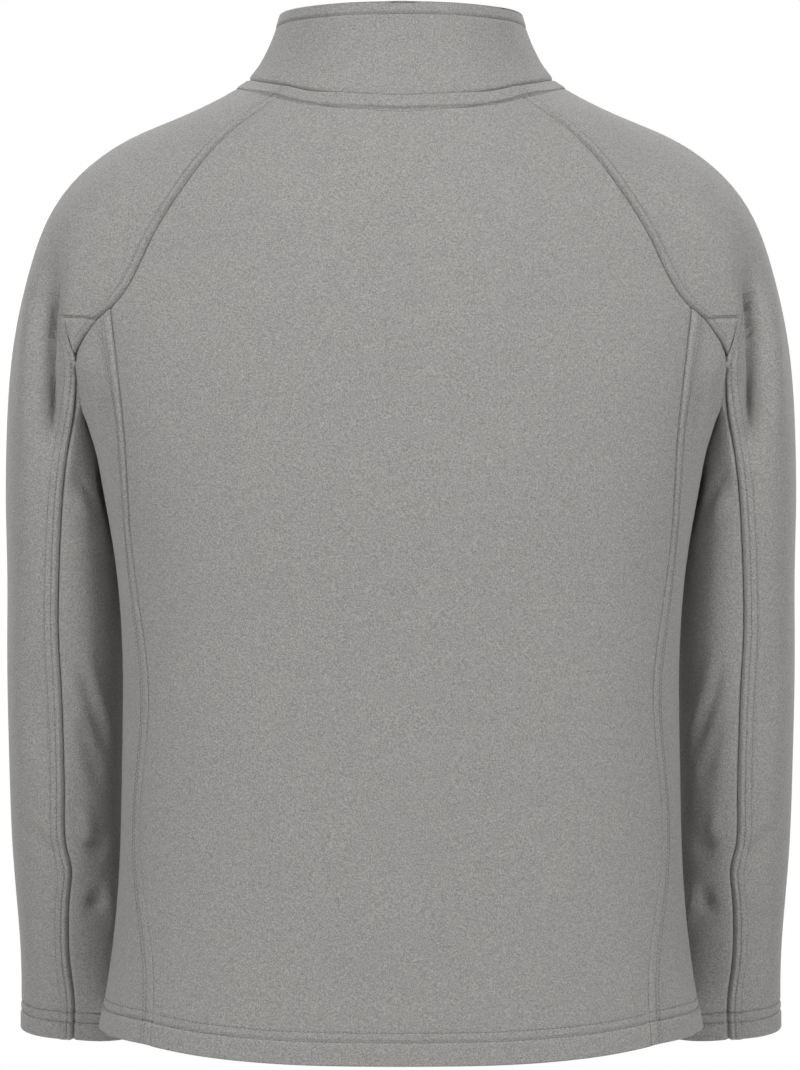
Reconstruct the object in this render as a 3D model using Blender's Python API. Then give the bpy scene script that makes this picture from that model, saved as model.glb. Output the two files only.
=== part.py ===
"""Zip fleece pullover: a raglan microfleece top with a stand collar and a quarter zip, filled out as if worn.

Metres, +Z up, front towards -Y, the wearer's left towards +X. The origin is the middle of the neck, level
with the shoulder points, where the shoulders carry it. The cloth is a thin wall: every panel is a grid of
points laid between its own seams on one hollow form of a torso and two arms.
"""

import math

import bmesh
import bpy
import numpy as np
from mathutils import Vector
from mathutils.bvhtree import BVHTree

MM = 0.001

# Cloth
FLEECE = 2.4 * MM            # one layer of fleece
COLLAR_CLOTH = 4.8 * MM      # the collar is folded double
SEAM_GAP = 0.5 * MM          # clear space between two panels that are sewn together
SLEEVE_CLEARANCE = 4.0 * MM  # between a sleeve and the side that it hangs against

# Zip: depths are outward from the line of the cloth's outer face, along the centre front
SLIT_HALF = 4.6 * MM         # from the centre front to the fleece edge beside the zip
SLIT_BOTTOM = -0.272         # height of the lower end of the front slit
TAPE_GAP = 0.5 * MM          # between the two tapes
TAPE_WIDTH = 13.0 * MM       # from the centre front, below the collar
COLLAR_TAPE_WIDTH = 4.25 * MM
TAPE_FRONT = -2.8 * MM
TAPE_THICK = 0.7 * MM
TAPE_STEP = 2.0 * MM         # how far below the neck seam the tapes reach their full width
TAPE_END = 8.0 * MM          # how far the tapes run on below the slit, behind the front
CHAIN_HALF = 2.5 * MM
CHAIN_FRONT = -0.4 * MM
CHAIN_BACK = -2.45 * MM
PART_GAP = 0.4 * MM          # clear space between the zip's parts along its line
TOP_STOP_AT = 3.0 * MM       # distances down the centre front from the collar's upper edge
TOP_STOP_LENGTH = 2.2 * MM
SLIDER_AT = 5.8 * MM
SLIDER_LENGTH = 10.5 * MM
SLIDER_HALF = 4.1 * MM       # at its upper end, where the tapes enter
SLIDER_FOOT_HALF = 3.3 * MM
SLIDER_FRONT = 0.9 * MM
SLIDER_CORNER = 1.0 * MM
SLIDER_SHOULDER = 4.0 * MM   # where its sides begin to draw in
BOTTOM_STOP_LENGTH = 3.0 * MM
BOTTOM_STOP_RISE = 2.0 * MM  # from the end of the slit to the stop's lower edge
BRIDGE_HALF = 1.4 * MM       # the arch on the slider that carries the pull tab
BRIDGE_START, BRIDGE_END = 1.6 * MM, 9.1 * MM
BRIDGE_WALL = 0.9 * MM
BRIDGE_HEIGHT = 3.3 * MM
BRIDGE_ROOT = 0.5 * MM       # how far its feet are sunk into the slider
BRIDGE_CORNER = 0.8 * MM
TAB_LENGTH = 27.0 * MM
TAB_HALF = 3.2 * MM
TAB_THICK = 1.5 * MM
TAB_BAR = 1.4 * MM           # the bar that turns in the arch
TAB_AXIS = 7.0 * MM          # from the slider's upper end
TAB_CORNER = 2.0 * MM        # radius of its lower corners
WINDOW_HALF = 1.8 * MM
WINDOW_LENGTH = 4.2 * MM

# Colour, roughness and metallic value
FLEECE_LOOK = (0.30, 0.29, 0.285), 0.95
TAPE_LOOK = (0.24, 0.235, 0.23), 0.8
NYLON_LOOK = (0.22, 0.215, 0.21), 0.5
ENAMEL_LOOK = (0.2, 0.195, 0.19), 0.4, 0.6

# Grid cells of the panels
BACK_RAGLAN_CELLS = 8        # neck to the side panel, along the back raglan seam
FRONT_RAGLAN_CELLS = 11
GUSSET_CELLS = 2             # down the small triangle of the top sleeve behind the arm
SIDE_CELLS = 14              # underarm to hem
SLEEVE_CELLS = 13            # underarm to cuff
BACK_CELLS = 7               # centre back or centre front to the seam
CAP_CELLS = 10               # round the top sleeve
UNDERARM_CELLS = 8           # round the inside of the under sleeve
COLLAR_ROWS = 5

# The torso, as level sections: where its side is widest, how far the back and the front stand from the
# middle plane, and how square each half is (2 is an ellipse). Millimetres.
TORSO = (
    # height, half width, widest at, back, front, back squareness, front squareness
    (40, 88, 0, 66, -74, 2.0, 2.0),
    (10, 104, 0, 77, -84, 2.0, 2.0),
    (-20, 132, 2, 87, -91, 2.1, 2.0),
    (-50, 164, 4, 98, -98, 2.2, 2.0),
    (-85, 194, 7, 108, -105, 2.3, 2.0),
    (-120, 217, 9, 115, -113, 2.3, 2.0),
    (-160, 237, 11, 121, -121, 2.3, 2.0),
    (-200, 244, 12, 125, -127, 2.3, 1.95),
    (-245, 238, 14, 127, -130, 2.3, 1.9),
    (-300, 225, 16, 128, -130, 2.3, 1.85),
    (-380, 212, 17, 125, -127, 2.3, 1.9),
    (-500, 209.5, 16, 121, -124, 2.3, 1.95),
    (-600, 212.5, 14, 122, -125, 2.3, 1.95),
    (-660, 219.5, 12, 124, -126, 2.3, 1.95),
    (-715, 229, 12, 127, -127, 2.3, 1.95),
)

# The arm, as stations along its middle line. Millimetres.
ARM = (
    # x, y, z, half across, half deep, squareness
    (40, -3, -30, 42, 58, 2.0),
    (100, -3, -55, 55, 66, 2.0),
    (163, -4, -81, 61, 72, 2.0),
    (211.8, -7, -109, 56, 75, 2.1),
    (231.6, -11, -146, 52, 75, 2.2),
    (249.7, -18, -200, 46, 73, 2.4),
    (259.4, -24, -250, 41, 68, 2.5),
    (260, -30, -300, 42.8, 66, 2.5),
    (258, -36, -360, 45, 63, 2.4),
    (257, -42, -430, 47, 59, 2.3),
    (256.5, -48, -500, 47, 55, 2.2),
    (255, -56, -580, 46.4, 50, 2.1),
    (252.2, -65, -650, 45.5, 44, 2.0),
    (252.8, -76, -728, 46, 37, 2.0),
)

# How softly the arm runs into the torso, by height: the radius of the blend. Millimetres.
BLEND = (
    # height, radius
    (60, 46),
    (-120, 46),
    (-190, 26),
    (-240, 10),
    (-300, 2),
    (-900, 2),
)

# The neck seam from the centre back to the centre front. Millimetres.
NECK_SEAM = (
    # x, y, z
    (0, 82, -14),
    (46, 77, -10.5),
    (70, 67, -6),
    (80, 60, -2.6),
    (98, 43, 3),
    (110, 22, 8),
    (115, 0, 11),
    (112, -22, 6),
    (102, -45, -7),
    (85, -66, -25),
    (60, -82, -45),
    (30, -92, -60),
    (0, -95, -66),
)
NECK_BACK_CORNER = 3         # the rows of NECK_SEAM where the raglan seams reach it
NECK_FRONT_CORNER = 9

# The collar's upper edge from the centre back to the centre front. Millimetres.
COLLAR_EDGE = (
    # x, y, z
    (0, 70, 59.5),
    (40, 63, 59.5),
    (68, 47, 60),
    (85, 27, 60.5),
    (92.5, 2, 59.5),
    (89, -24, 53),
    (74, -48, 37),
    (46, -67, 15),
    (0, -76, -3),
)

# Raglan seams, seen from behind and from the front: neck, then the seam of the side panel, then the small
# triangle behind the arm or the under sleeve. Millimetres.
RAGLAN_BACK = (
    # x, z
    (80, -2.6),
    (111.3, -24),
    (141.3, -52.5),
    (162, -81.5),
    (184, -118),
    (202.6, -154),
    (214, -167),
    (224.6, -175),
)
RAGLAN_FRONT = (
    # x, z
    (85, -25),
    (110, -47),
    (138, -74),
    (160, -101),
    (183, -134),
    (202, -163),
    (213, -175),
    (223, -183),
)
# The armhole seam under the arm, from the small triangle round to the front of the under sleeve. Millimetres.
UNDERARM_SEAM = (
    # x, y, z
    (224.6, 68.5, -175),
    (235.5, 62, -189),
    (241, 55.5, -201),
    (239, 47, -219),
    (238, 41, -236),
    (234.5, 30, -251),
    (229, 8, -260),
    (227, -18, -261),
    (228, -42, -250),
    (231.5, -63, -225),
    (230, -78, -199),
    (223, -82, -183),
)
# The row of UNDERARM_SEAM and of ELBOW_SEAM where the small triangle behind the arm comes to its point.
GUSSET_ROW = 2
# The seams between the side panels and the back and front, from the raglan seam to the hem. Millimetres.
SIDE_SEAM_BACK = (
    # x, z
    (214, -167),
    (208, -216),
    (203, -268),
    (200, -330),
    (191, -400),
    (186, -445),
    (188.5, -492),
    (193, -545),
    (189, -600),
    (182, -650),
    (183, -707),
)
SIDE_SEAM_FRONT = (
    # x, z
    (213, -175),
    (208, -225),
    (201, -300),
    (195, -400),
    (192, -500),
    (193, -600),
    (200, -703),
)
# The outer side of the small triangle, then the elbow seam to the cuff, seen from behind. Millimetres.
ELBOW_SEAM = (
    # x, z
    (249.2, -173.6),
    (246.5, -188),
    (241, -201),
    (239.8, -218),
    (242.5, -238),
    (249, -272),
    (253, -303),
    (255.5, -334),
    (257.4, -368),
    (258.3, -411),
    (256.8, -449),
    (256, -492),
    (256, -540),
    (256.1, -564),
    (254.5, -575),
    (251.5, -588),
    (252.8, -604),
    (255.3, -638.5),
    (254.8, -663),
    (252.2, -688.5),
    (253.3, -724),
)
FRONT_SLEEVE_SEAM_ANGLE = math.radians(-114)  # round the arm from its outer line, front side
FRONT_SLEEVE_SEAM_EASE = 120 * MM             # how far down the sleeve the seam reaches that angle
CUFF_RISE = 5 * MM                            # from the end of the arm's last station to the cuff
CUFF_DROP = 3 * MM                            # how much lower the cuff is on the inside of the arm

HEM_BACK, HEM_SIDE, HEM_FRONT = -0.715, -0.705, -0.702


# ---------------------------------------------------------------- curves

def spline(keys, values):
    """A smooth curve through rows of values at rising keys, as a function of the key."""
    keys = np.asarray(keys, float)
    values = np.asarray(values, float).reshape(len(keys), -1)
    step = np.diff(keys)
    slope = np.diff(values, axis=0) / step[:, None]
    system = np.eye(len(keys))
    right = np.zeros_like(values)
    for i in range(1, len(keys) - 1):
        system[i, i - 1 : i + 2] = step[i - 1], 2 * (step[i - 1] + step[i]), step[i]
        right[i] = 6 * (slope[i] - slope[i - 1])
    bend = np.linalg.solve(system, right)

    def at(key):
        key = np.clip(np.asarray(key, float), keys[0], keys[-1])
        i = np.clip(np.searchsorted(keys, key) - 1, 0, len(step) - 1)
        h = step[i][..., None]
        a = (keys[i + 1] - key)[..., None]
        b = (key - keys[i])[..., None]
        return (
            (bend[i] * a**3 + bend[i + 1] * b**3) / (6 * h)
            + (values[i] / h - bend[i] * h / 6) * a
            + (values[i + 1] / h - bend[i + 1] * h / 6) * b
        )

    return at


def lengths(points):
    """How far along a row of points each one is."""
    return np.concatenate([[0], np.cumsum(np.linalg.norm(np.diff(points, axis=0), axis=1))])


def through(table, cells, first=0, last=None):
    """Points along a smooth curve through a table's rows, from one row to another. cells is how many
    equal steps to take, or the shares of the way at which to stop."""
    points = np.asarray(table, float) * MM
    along = lengths(points)
    curve = spline(along, points)
    fine = np.linspace(along[first], along[-1 if last is None else last], 400)
    share = np.linspace(0, 1, cells + 1) if np.isscalar(cells) else np.asarray(cells)
    length = lengths(curve(fine))
    return curve(np.interp(share * length[-1], length, fine))


# ---------------------------------------------------------------- the hollow form

torso_rows = np.array(TORSO, float)[::-1]
torso_rows[:, :5] *= MM
torso_at = spline(torso_rows[:, 0], torso_rows[:, 1:])
blend_rows = np.array(BLEND, float)[::-1] * MM

arm_rows = np.array(ARM, float)
arm_rows[:, :5] *= MM
arm_keys = lengths(arm_rows[:, :3])
arm_at = spline(arm_keys, arm_rows)
arm_samples = np.linspace(0, arm_keys[-1], 241)
arm_line = arm_at(arm_samples)[:, :3]


def arm_frame(along):
    """Middle, direction, outward and backward axes, half sizes and squareness, at places along the arm."""
    row = arm_at(along)
    tangent = arm_at(along + 1 * MM)[..., :3] - arm_at(along - 1 * MM)[..., :3]
    tangent /= np.linalg.norm(tangent, axis=-1, keepdims=True)
    outward = np.stack([-tangent[..., 2], np.zeros_like(tangent[..., 0]), tangent[..., 0]], -1)
    outward /= np.linalg.norm(outward, axis=-1, keepdims=True)
    backward = np.cross(outward, tangent)
    return row[..., :3], tangent, outward, backward, row[..., 3], row[..., 4], row[..., 5]


def torso_distance(point):
    """About how far points are outside the torso; negative inside."""
    half, widest, back, front, back_square, front_square = np.moveaxis(torso_at(point[..., 2]), -1, 0)
    y = point[..., 1] - widest
    deep = np.where(y > 0, back - widest, widest - front)
    square = np.where(y > 0, back_square, front_square)
    return squared_distance(point[..., 0] / half, y / deep, half, deep, square)


def arm_place(point):
    """Where points lie on the arm: along it, and outward and backward in shares of its half sizes."""
    flat = point.reshape(-1, 3)
    gap = ((flat[:, None, :] - arm_line[None]) ** 2).sum(-1)
    along = arm_samples[gap.argmin(1)]
    for _ in range(3):
        middle, tangent, *_ = arm_frame(along)
        along = np.clip(along + ((flat - middle) * tangent).sum(-1) * 0.8, 0, arm_keys[-1])
    middle, tangent, outward, backward, across, deep, square = arm_frame(along)
    away = flat - middle
    shape = point.shape[:-1]
    u, v = (away * outward).sum(-1) / across, (away * backward).sum(-1) / deep
    return [value.reshape(shape) for value in (along, u, v, across, deep, square)]


def squared_distance(u, v, half, deep, square):
    """About how far a place is outside a squared ellipse; u and v are in shares of its half sizes."""
    u, v = np.abs(u) + 1e-9, np.abs(v) + 1e-9
    reach = (u**square + v**square) ** (1 / square)
    grade = np.hypot((u / reach) ** (square - 1) / half, (v / reach) ** (square - 1) / deep)
    return (reach - 1) / grade


def arm_distance(point):
    return squared_distance(*arm_place(point)[1:])


def blended(torso, arm, point):
    """The nearer of two distances, run softly into each other."""
    radius = np.interp(point[..., 2], blend_rows[:, 0], blend_rows[:, 1])
    mix = np.clip(0.5 + 0.5 * (arm - torso) / radius, 0, 1)
    return arm * (1 - mix) + torso * mix - radius * mix * (1 - mix)


def form_distance(point):
    """The torso with the arm blended in."""
    return blended(torso_distance(point), arm_distance(point), point)


def reach_surface(origin, direction, distance, far=0.26):
    """Where rays from inside a form leave it."""
    low = np.zeros(origin.shape[:-1])
    high = np.full(origin.shape[:-1], far)
    for _ in range(26):
        middle = (low + high) / 2
        inside = distance(origin + direction * middle[..., None]) < 0
        low = np.where(inside, middle, low)
        high = np.where(inside, high, middle)
    return origin + direction * ((low + high) / 2)[..., None]


def face_on(plan, side, distance=form_distance, within=0.0):
    """Points given as x and z, seen from behind (side 1) or from the front (side -1), set on the form.
    within is the y of places inside the form, from which to look for its surface."""
    origin = np.stack([plan[..., 0], within + np.zeros_like(plan[..., 0]), plan[..., 1]], -1)
    return reach_surface(origin, np.array([0.0, float(side), 0.0]), distance)


def round_arm(place, distance):
    """Points given as a place along the arm and an angle round it, set on a form."""
    middle, _, outward, backward, across, deep, _ = arm_frame(place[..., 0])
    u, v = across * np.cos(place[..., 1]), deep * np.sin(place[..., 1])
    direction = (outward * u[..., None] + backward * v[..., None]) / np.hypot(u, v)[..., None]
    return reach_surface(middle, direction, distance)


def arm_places(points):
    along, u, v, *_ = arm_place(points)
    return np.stack([along, np.unwrap(np.arctan2(v, u))], -1)


# ---------------------------------------------------------------- grids between seams

def patch(top, bottom, left, right, down=None):
    """A grid whose four sides are the given rows of points, smoothly filled in."""
    rows, columns = len(left), len(top)
    v = (np.linspace(0, 1, rows) if down is None else down)[:, None, None]
    u = np.linspace(0, 1, columns)[None, :, None]
    sides = (1 - u) * left[:, None] + u * right[:, None]
    ends = (1 - v) * top[None] + v * bottom[None]
    corners = (1 - v) * ((1 - u) * top[0] + u * top[-1]) + v * ((1 - u) * bottom[0] + u * bottom[-1])
    return sides + ends - corners


def join_to_seams(grid, seams, reach):
    """Draws a grid's sides onto its seams, and fades that out over some rows and columns."""
    rows, columns = grid.shape[:2]
    row = np.arange(rows)[:, None, None]
    column = np.arange(columns)[None, :, None]
    fade = {
        "top": np.exp(-((row / reach) ** 2)),
        "left": np.exp(-((column / reach) ** 2)),
        "right": np.exp(-(((columns - 1 - column) / reach) ** 2)),
    }
    off = {
        "top": None if seams.get("top") is None else seams["top"] - grid[0],
        "left": None if seams.get("left") is None else seams["left"] - grid[:, 0],
        "right": None if seams.get("right") is None else seams["right"] - grid[:, -1],
    }
    moved = grid.copy()
    if off["top"] is not None:
        moved += fade["top"] * off["top"][None]
    for side, end in (("left", 0), ("right", -1)):
        if off[side] is None:
            continue
        moved += fade[side] * off[side][:, None]
        if off["top"] is not None:
            moved -= fade[side] * fade["top"] * off["top"][end]
    return moved


def keep_off(points, panel, clearance):
    """Moves points that are nearer to a panel's outer face than the clearance straight out of it."""
    tree = BVHTree.FromPolygons(panel.reshape(-1, 3).tolist(), quads(*panel.shape[:2]))
    moved = points.copy()
    for place in np.ndindex(points.shape[:2]):
        point = Vector(points[place])
        nearest, normal, *_ = tree.find_nearest(point)
        short = clearance[place[0]] - (point - nearest).dot(normal)
        if short > 0:
            moved[place] = point + normal * short
    return moved


# ---------------------------------------------------------------- seams, on the wearer's left

def arm_left_out(point):
    """The torso with the arm blended in above the underarm only, for the body's panels."""
    fade = np.clip((-185 * MM - point[..., 2]) / (60 * MM), 0, 1) * 70 * MM
    return blended(torso_distance(point), arm_distance(point) + fade, point)


def torso_left_out(point):
    """The arm with the torso blended in above the underarm only, for the sleeve's panels."""
    fade = np.clip((-185 * MM - point[..., 2]) / (55 * MM), 0, 1) * 90 * MM
    return blended(torso_distance(point) + fade, arm_distance(point), point)


def seam_on(table, side, distance, cells, first=0, last=None, within=0.0):
    return face_on(through(table, cells, first, last), side, distance, within)


neck_back = through(NECK_SEAM, BACK_CELLS, 0, NECK_BACK_CORNER)
neck_cap = through(NECK_SEAM, CAP_CELLS, NECK_BACK_CORNER, NECK_FRONT_CORNER)
neck_front = through(NECK_SEAM, BACK_CELLS, NECK_FRONT_CORNER)
# The front neck ends beside the zip.
neck_front[:, 0] = SLIT_HALF + neck_front[:, 0] * (1 - SLIT_HALF / neck_front[0, 0])


def raglan_seam(table, side, cells, neck_corner):
    """The raglan seam from the neck to the seam of the side panel, then to that of the under sleeve."""
    upper = seam_on(table, side, form_distance, cells, 0, len(table) - 2)
    lower = seam_on(table, side, form_distance, 1, len(table) - 2)
    seam = np.concatenate([upper, lower[1:]])
    fade = np.exp(-((np.arange(len(seam)) / 1.5) ** 2))[:, None]
    return seam + fade * (neck_corner - seam[0])


raglan_back = raglan_seam(RAGLAN_BACK, 1, BACK_RAGLAN_CELLS, neck_cap[0])
raglan_front = raglan_seam(RAGLAN_FRONT, -1, FRONT_RAGLAN_CELLS, neck_cap[-1])

gusset = through(UNDERARM_SEAM, GUSSET_CELLS, 0, GUSSET_ROW)
underarm = through(UNDERARM_SEAM, UNDERARM_CELLS, GUSSET_ROW)
gusset[0], underarm[-1] = raglan_back[-1], raglan_front[-1]

side_back = seam_on(SIDE_SEAM_BACK, 1, arm_left_out, SIDE_CELLS)
side_front = seam_on(SIDE_SEAM_FRONT, -1, arm_left_out, SIDE_CELLS)
side_back[0], side_front[0] = raglan_back[-2], raglan_front[-2]

elbow_plan = np.concatenate([
    through(ELBOW_SEAM, GUSSET_CELLS, 0, GUSSET_ROW),
    through(ELBOW_SEAM, SLEEVE_CELLS, GUSSET_ROW)[1:],
])
elbow_middle = np.interp(-elbow_plan[:, 1], -arm_rows[:, 2], arm_rows[:, 1])
elbow = face_on(elbow_plan, 1, torso_left_out, elbow_middle)
elbow[GUSSET_CELLS] = underarm[0]


# ---------------------------------------------------------------- panels, on the wearer's left

def body_half(neck, seam, side, middle_x, middle_z):
    """Half of the back or of the front, from the centre line to the seam."""
    left = np.stack([np.full(len(seam), middle_x), middle_z], -1)
    hem_x = np.linspace(middle_x, seam[-1, 0], len(neck))
    hem_z = middle_z[-1] + (seam[-1, 2] - middle_z[-1]) * np.linspace(0, 1, len(neck)) ** 3
    down = (seam[0, 2] - seam[:, 2]) / (seam[0, 2] - seam[-1, 2])
    plan = patch(neck[:, [0, 2]], np.stack([hem_x, hem_z], -1), left, seam[:, [0, 2]], down)
    return join_to_seams(face_on(plan, side, arm_left_out), {"top": neck, "right": seam}, 2.2)


def back_half():
    seam = np.concatenate([raglan_back[:-1], side_back[1:]])
    down = (seam[0, 2] - seam[:, 2]) / (seam[0, 2] - seam[-1, 2])
    middle_z = neck_back[0, 2] + (HEM_BACK - neck_back[0, 2]) * down
    return body_half(neck_back, seam, 1, 0.0, middle_z)


SLIT_ROWS = FRONT_RAGLAN_CELLS + 2


def front_half():
    seam = np.concatenate([raglan_front[:-1], side_front[1:]])
    upper = np.linspace(neck_front[-1, 2], SLIT_BOTTOM, SLIT_ROWS + 1)
    lower = np.linspace(SLIT_BOTTOM, HEM_FRONT, len(seam) - SLIT_ROWS)
    return body_half(neck_front[::-1], seam, -1, SLIT_HALF, np.concatenate([upper, lower[1:]]))


def side_panel():
    """From the back seam round the side to the front seam."""
    top = np.concatenate([raglan_back[-2:-1], gusset, underarm[1:], raglan_front[-2:-1]])
    columns = len(top)

    def axis(z):
        half, widest = np.moveaxis(torso_at(z)[..., :2], -1, 0)
        return half - 100 * MM, widest

    def turned(points):
        x, y = axis(points[:, 2])
        return np.stack([np.arctan2(points[:, 1] - y, points[:, 0] - x), points[:, 2]], -1)

    ends = turned(np.array([side_back[-1], side_front[-1]]))
    bottom = np.linspace(ends[0], ends[1], columns)
    bottom[:, 1] = HEM_SIDE
    bottom[[0, -1], 1] = ends[:, 1]
    down = np.linspace(0, 1, len(side_back))
    plan = patch(turned(top), bottom, turned(side_back), turned(side_front), down)
    x, y = axis(plan[..., 1])
    direction = np.stack([np.cos(plan[..., 0]), np.sin(plan[..., 0]), np.zeros_like(x)], -1)
    grid = reach_surface(np.stack([x, y, plan[..., 1]], -1), direction, torso_distance)
    return join_to_seams(grid, {"top": top, "left": side_back, "right": side_front}, 1.6)


def sleeve_front_seam():
    """The seam on the sleeve's front, from the front raglan seam to the cuff, as places on the arm."""
    start = arm_places(raglan_front[-1:])[0]
    along = np.linspace(start[0], arm_keys[-1] - CUFF_RISE, SLEEVE_CELLS + 1)
    turn = np.clip((along - along[0]) / FRONT_SLEEVE_SEAM_EASE, 0, 1)
    angle = start[1] + (FRONT_SLEEVE_SEAM_ANGLE - start[1]) * turn * turn * (3 - 2 * turn)
    return np.stack([along, angle], -1)


# How far the rows of the top sleeve rise from its seams to its outer line, by row from the neck.
CAP_RISE_ROWS = (0, 4, BACK_RAGLAN_CELLS + 1, BACK_RAGLAN_CELLS + 3, BACK_RAGLAN_CELLS + 9)
CAP_RISE = (0.0, 12 * MM, 36 * MM, 36 * MM, 0.0)


def top_sleeve():
    """From the back raglan and elbow seams, over the outside of the arm, to its front seams: the main grid,
    and the small triangle behind the arm that fills its corner down to the elbow seam."""
    left = np.concatenate([raglan_back, elbow])
    front = round_arm(sleeve_front_seam(), torso_left_out)
    front[0] = raglan_front[-1]
    right = np.concatenate([raglan_front[:-1], front])
    places = [arm_places(row) for row in (neck_cap, left, right)]
    bottom = np.linspace(places[1][-1], places[2][-1], len(neck_cap))
    down = lengths(left) / lengths(left)[-1]
    plan = patch(places[0], bottom, places[1], places[2], down)
    rise = np.interp(np.arange(len(left)), CAP_RISE_ROWS, CAP_RISE)[:, None]
    plan[..., 0] -= rise * np.sin(np.linspace(0, math.pi, len(neck_cap)))
    grid = round_arm(plan, torso_left_out)
    triangle = np.stack([gusset, elbow[: GUSSET_CELLS + 1]], axis=1)
    return (join_to_seams(grid, {"top": neck_cap, "left": left, "right": right}, 2.0), triangle), front


def under_sleeve(front, side):
    """From the elbow seam round the inside of the arm to the seam on its front."""
    left, right = arm_places(elbow[GUSSET_CELLS:]), arm_places(front)
    top = arm_places(underarm)
    right[:, 1] += 2 * math.pi * np.round((top[-1, 1] - right[0, 1]) / (2 * math.pi))
    bottom = np.linspace(left[-1], right[-1], len(top))
    bottom[:, 0] += CUFF_DROP * np.sin(np.linspace(0, math.pi, len(top)))
    plan = patch(top, bottom, left, right)
    grid = round_arm(plan, arm_distance)
    grid = join_to_seams(grid, {"top": underarm, "left": elbow[GUSSET_CELLS:], "right": front}, 1.6)
    clearance = SLEEVE_CLEARANCE * np.clip(np.arange(1, len(left)) / 2, 0, 1)
    grid[1:, 1:-1] = keep_off(grid[1:, 1:-1], side, clearance)
    return grid


# ---------------------------------------------------------------- collar

COLLAR_BOW = 2.4 * MM        # how far the collar curves inwards between its seam and its edge


def collar_half():
    """One side of the stand collar, in rows from the neck seam to its upper edge."""
    neck = np.concatenate([neck_back, neck_cap[1:], neck_front[1:]])
    share = lengths(neck) / lengths(neck)[-1]
    edge = through(COLLAR_EDGE, share)
    edge[:, 0] = np.maximum(edge[:, 0], SLIT_HALF * share**8)
    inward = -edge * [1, 1, 0]
    inward /= np.linalg.norm(inward, axis=1, keepdims=True)
    rows = []
    for part in np.linspace(0, 1, COLLAR_ROWS + 1):
        bow = COLLAR_BOW * math.sin(math.pi * part) * (1 - share**6)
        rows.append(neck * (1 - part) + edge * part + inward * bow[:, None])
    return np.array(rows)


# ---------------------------------------------------------------- walls

def mirrored(grid):
    """The same grid on the wearer's right, with its columns turned round so that it faces the same way."""
    return grid[:, ::-1] * [-1, 1, 1]


def both_halves(half):
    """A grid from the middle to the left seam made whole, sharing its middle column."""
    return np.concatenate([mirrored(half), half[:, 1:]], axis=1)


def quads(rows, columns, left_out=()):
    """The faces of a grid of points, as corner numbers, without the cells named as (row, column)."""
    found = []
    for i in range(rows - 1):
        for j in range(columns - 1):
            if (i, j) not in left_out:
                a = i * columns + j
                found.append((a, a + 1, a + columns + 1, a + columns))
    return found


class Panel:
    """One piece of cloth before it has a thickness: its outer points and the faces between them."""

    def __init__(self, name, grids, thick=FLEECE, left_out=(), turned=False):
        self.name, self.thick = name, thick
        points, self.faces, number = [], [], {}
        for grid in grids:
            flat = grid.reshape(-1, 3)
            for point in flat:
                if key_of(point) not in number:
                    number[key_of(point)] = len(points)
                    points.append(point)
            for face in quads(*grid.shape[:2], left_out):
                corners = [number[key_of(flat[i])] for i in face]
                split = halves(corners[::-1] if turned else corners, points)
                self.faces += [half for half in split if len(set(half)) == 3]
        self.points = np.array(points)
        self.normals = np.zeros_like(self.points)
        for face in self.faces:
            a, b, c = self.points[list(face)]
            self.normals[list(face)] += np.cross(b - a, c - a)
        self.normals /= np.linalg.norm(self.normals, axis=1, keepdims=True) + 1e-12


def halves(corners, points):
    """A four-sided face split along its shorter diagonal, alike on the left and on the right."""
    a, b, c, d = corners
    first = np.linalg.norm(points[c] - points[a])
    second = np.linalg.norm(points[d] - points[b])
    return [(a, b, c), (a, c, d)] if first < second + 0.01 * MM else [(b, c, d), (b, d, a)]


def key_of(point):
    """The same number for the same point of two panels, whatever their rounding."""
    return tuple(np.round(point / (0.02 * MM) + 0.137).astype(int))


def share_normals(panels):
    """Gives points that panels share at a seam one normal, so that their edges meet face to face."""
    total = {}
    for panel in panels:
        for point, normal in zip(panel.points, panel.normals):
            key = key_of(point)
            total[key] = total.get(key, 0) + normal
    for panel in panels:
        panel.normals = np.array([total[key_of(point)] for point in panel.points])
        panel.normals /= np.linalg.norm(panel.normals, axis=1, keepdims=True)


def edge_loop(faces):
    """The edges with a face on one side only, each in that face's direction."""
    sides = {(face[i], face[(i + 1) % 3]) for face in faces for i in range(3)}
    return [(a, b) for a, b in sides if (b, a) not in sides]


def wall(panel, look, collection):
    """A closed solid: the panel, a copy of it inside at the cloth's thickness, and the edge between."""
    points, border = panel.points.copy(), edge_loop(panel.faces)
    pull = {}
    for a, b in border:
        along = points[b] - points[a]
        inward = np.cross(panel.normals[a] + panel.normals[b], along)
        for end in (a, b):
            pull.setdefault(end, []).append(inward / np.linalg.norm(inward))
    for end, ways in pull.items():
        first, second = ways[0], ways[-1]
        spread = max(1 + first @ second, 0.5)
        points[end] += (first + second) / spread * SEAM_GAP / 2
    mesh = bmesh.new()
    used = sorted({corner for face in panel.faces for corner in face})
    outer = {i: mesh.verts.new(points[i]) for i in used}
    inner = {i: mesh.verts.new(points[i] - panel.normals[i] * panel.thick) for i in used}
    for face in panel.faces:
        mesh.faces.new([outer[i] for i in face])
        mesh.faces.new([inner[i] for i in reversed(face)])
    for a, b in border:
        # Two panels that share this edge split its strip along the same diagonal.
        if panel.points[a][2] > panel.points[b][2]:
            mesh.faces.new([outer[b], outer[a], inner[b]])
            mesh.faces.new([outer[a], inner[a], inner[b]])
        else:
            mesh.faces.new([outer[b], outer[a], inner[a]])
            mesh.faces.new([outer[b], inner[a], inner[b]])
    return finished(panel.name, mesh, look, collection)


def new_material(name, colour, roughness, metallic=0.0):
    made = bpy.data.materials.new(name)
    made.use_nodes = True
    shader = made.node_tree.nodes["Principled BSDF"]
    shader.inputs["Base Color"].default_value = (*colour, 1)
    shader.inputs["Roughness"].default_value = roughness
    shader.inputs["Metallic"].default_value = metallic
    return made


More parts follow.
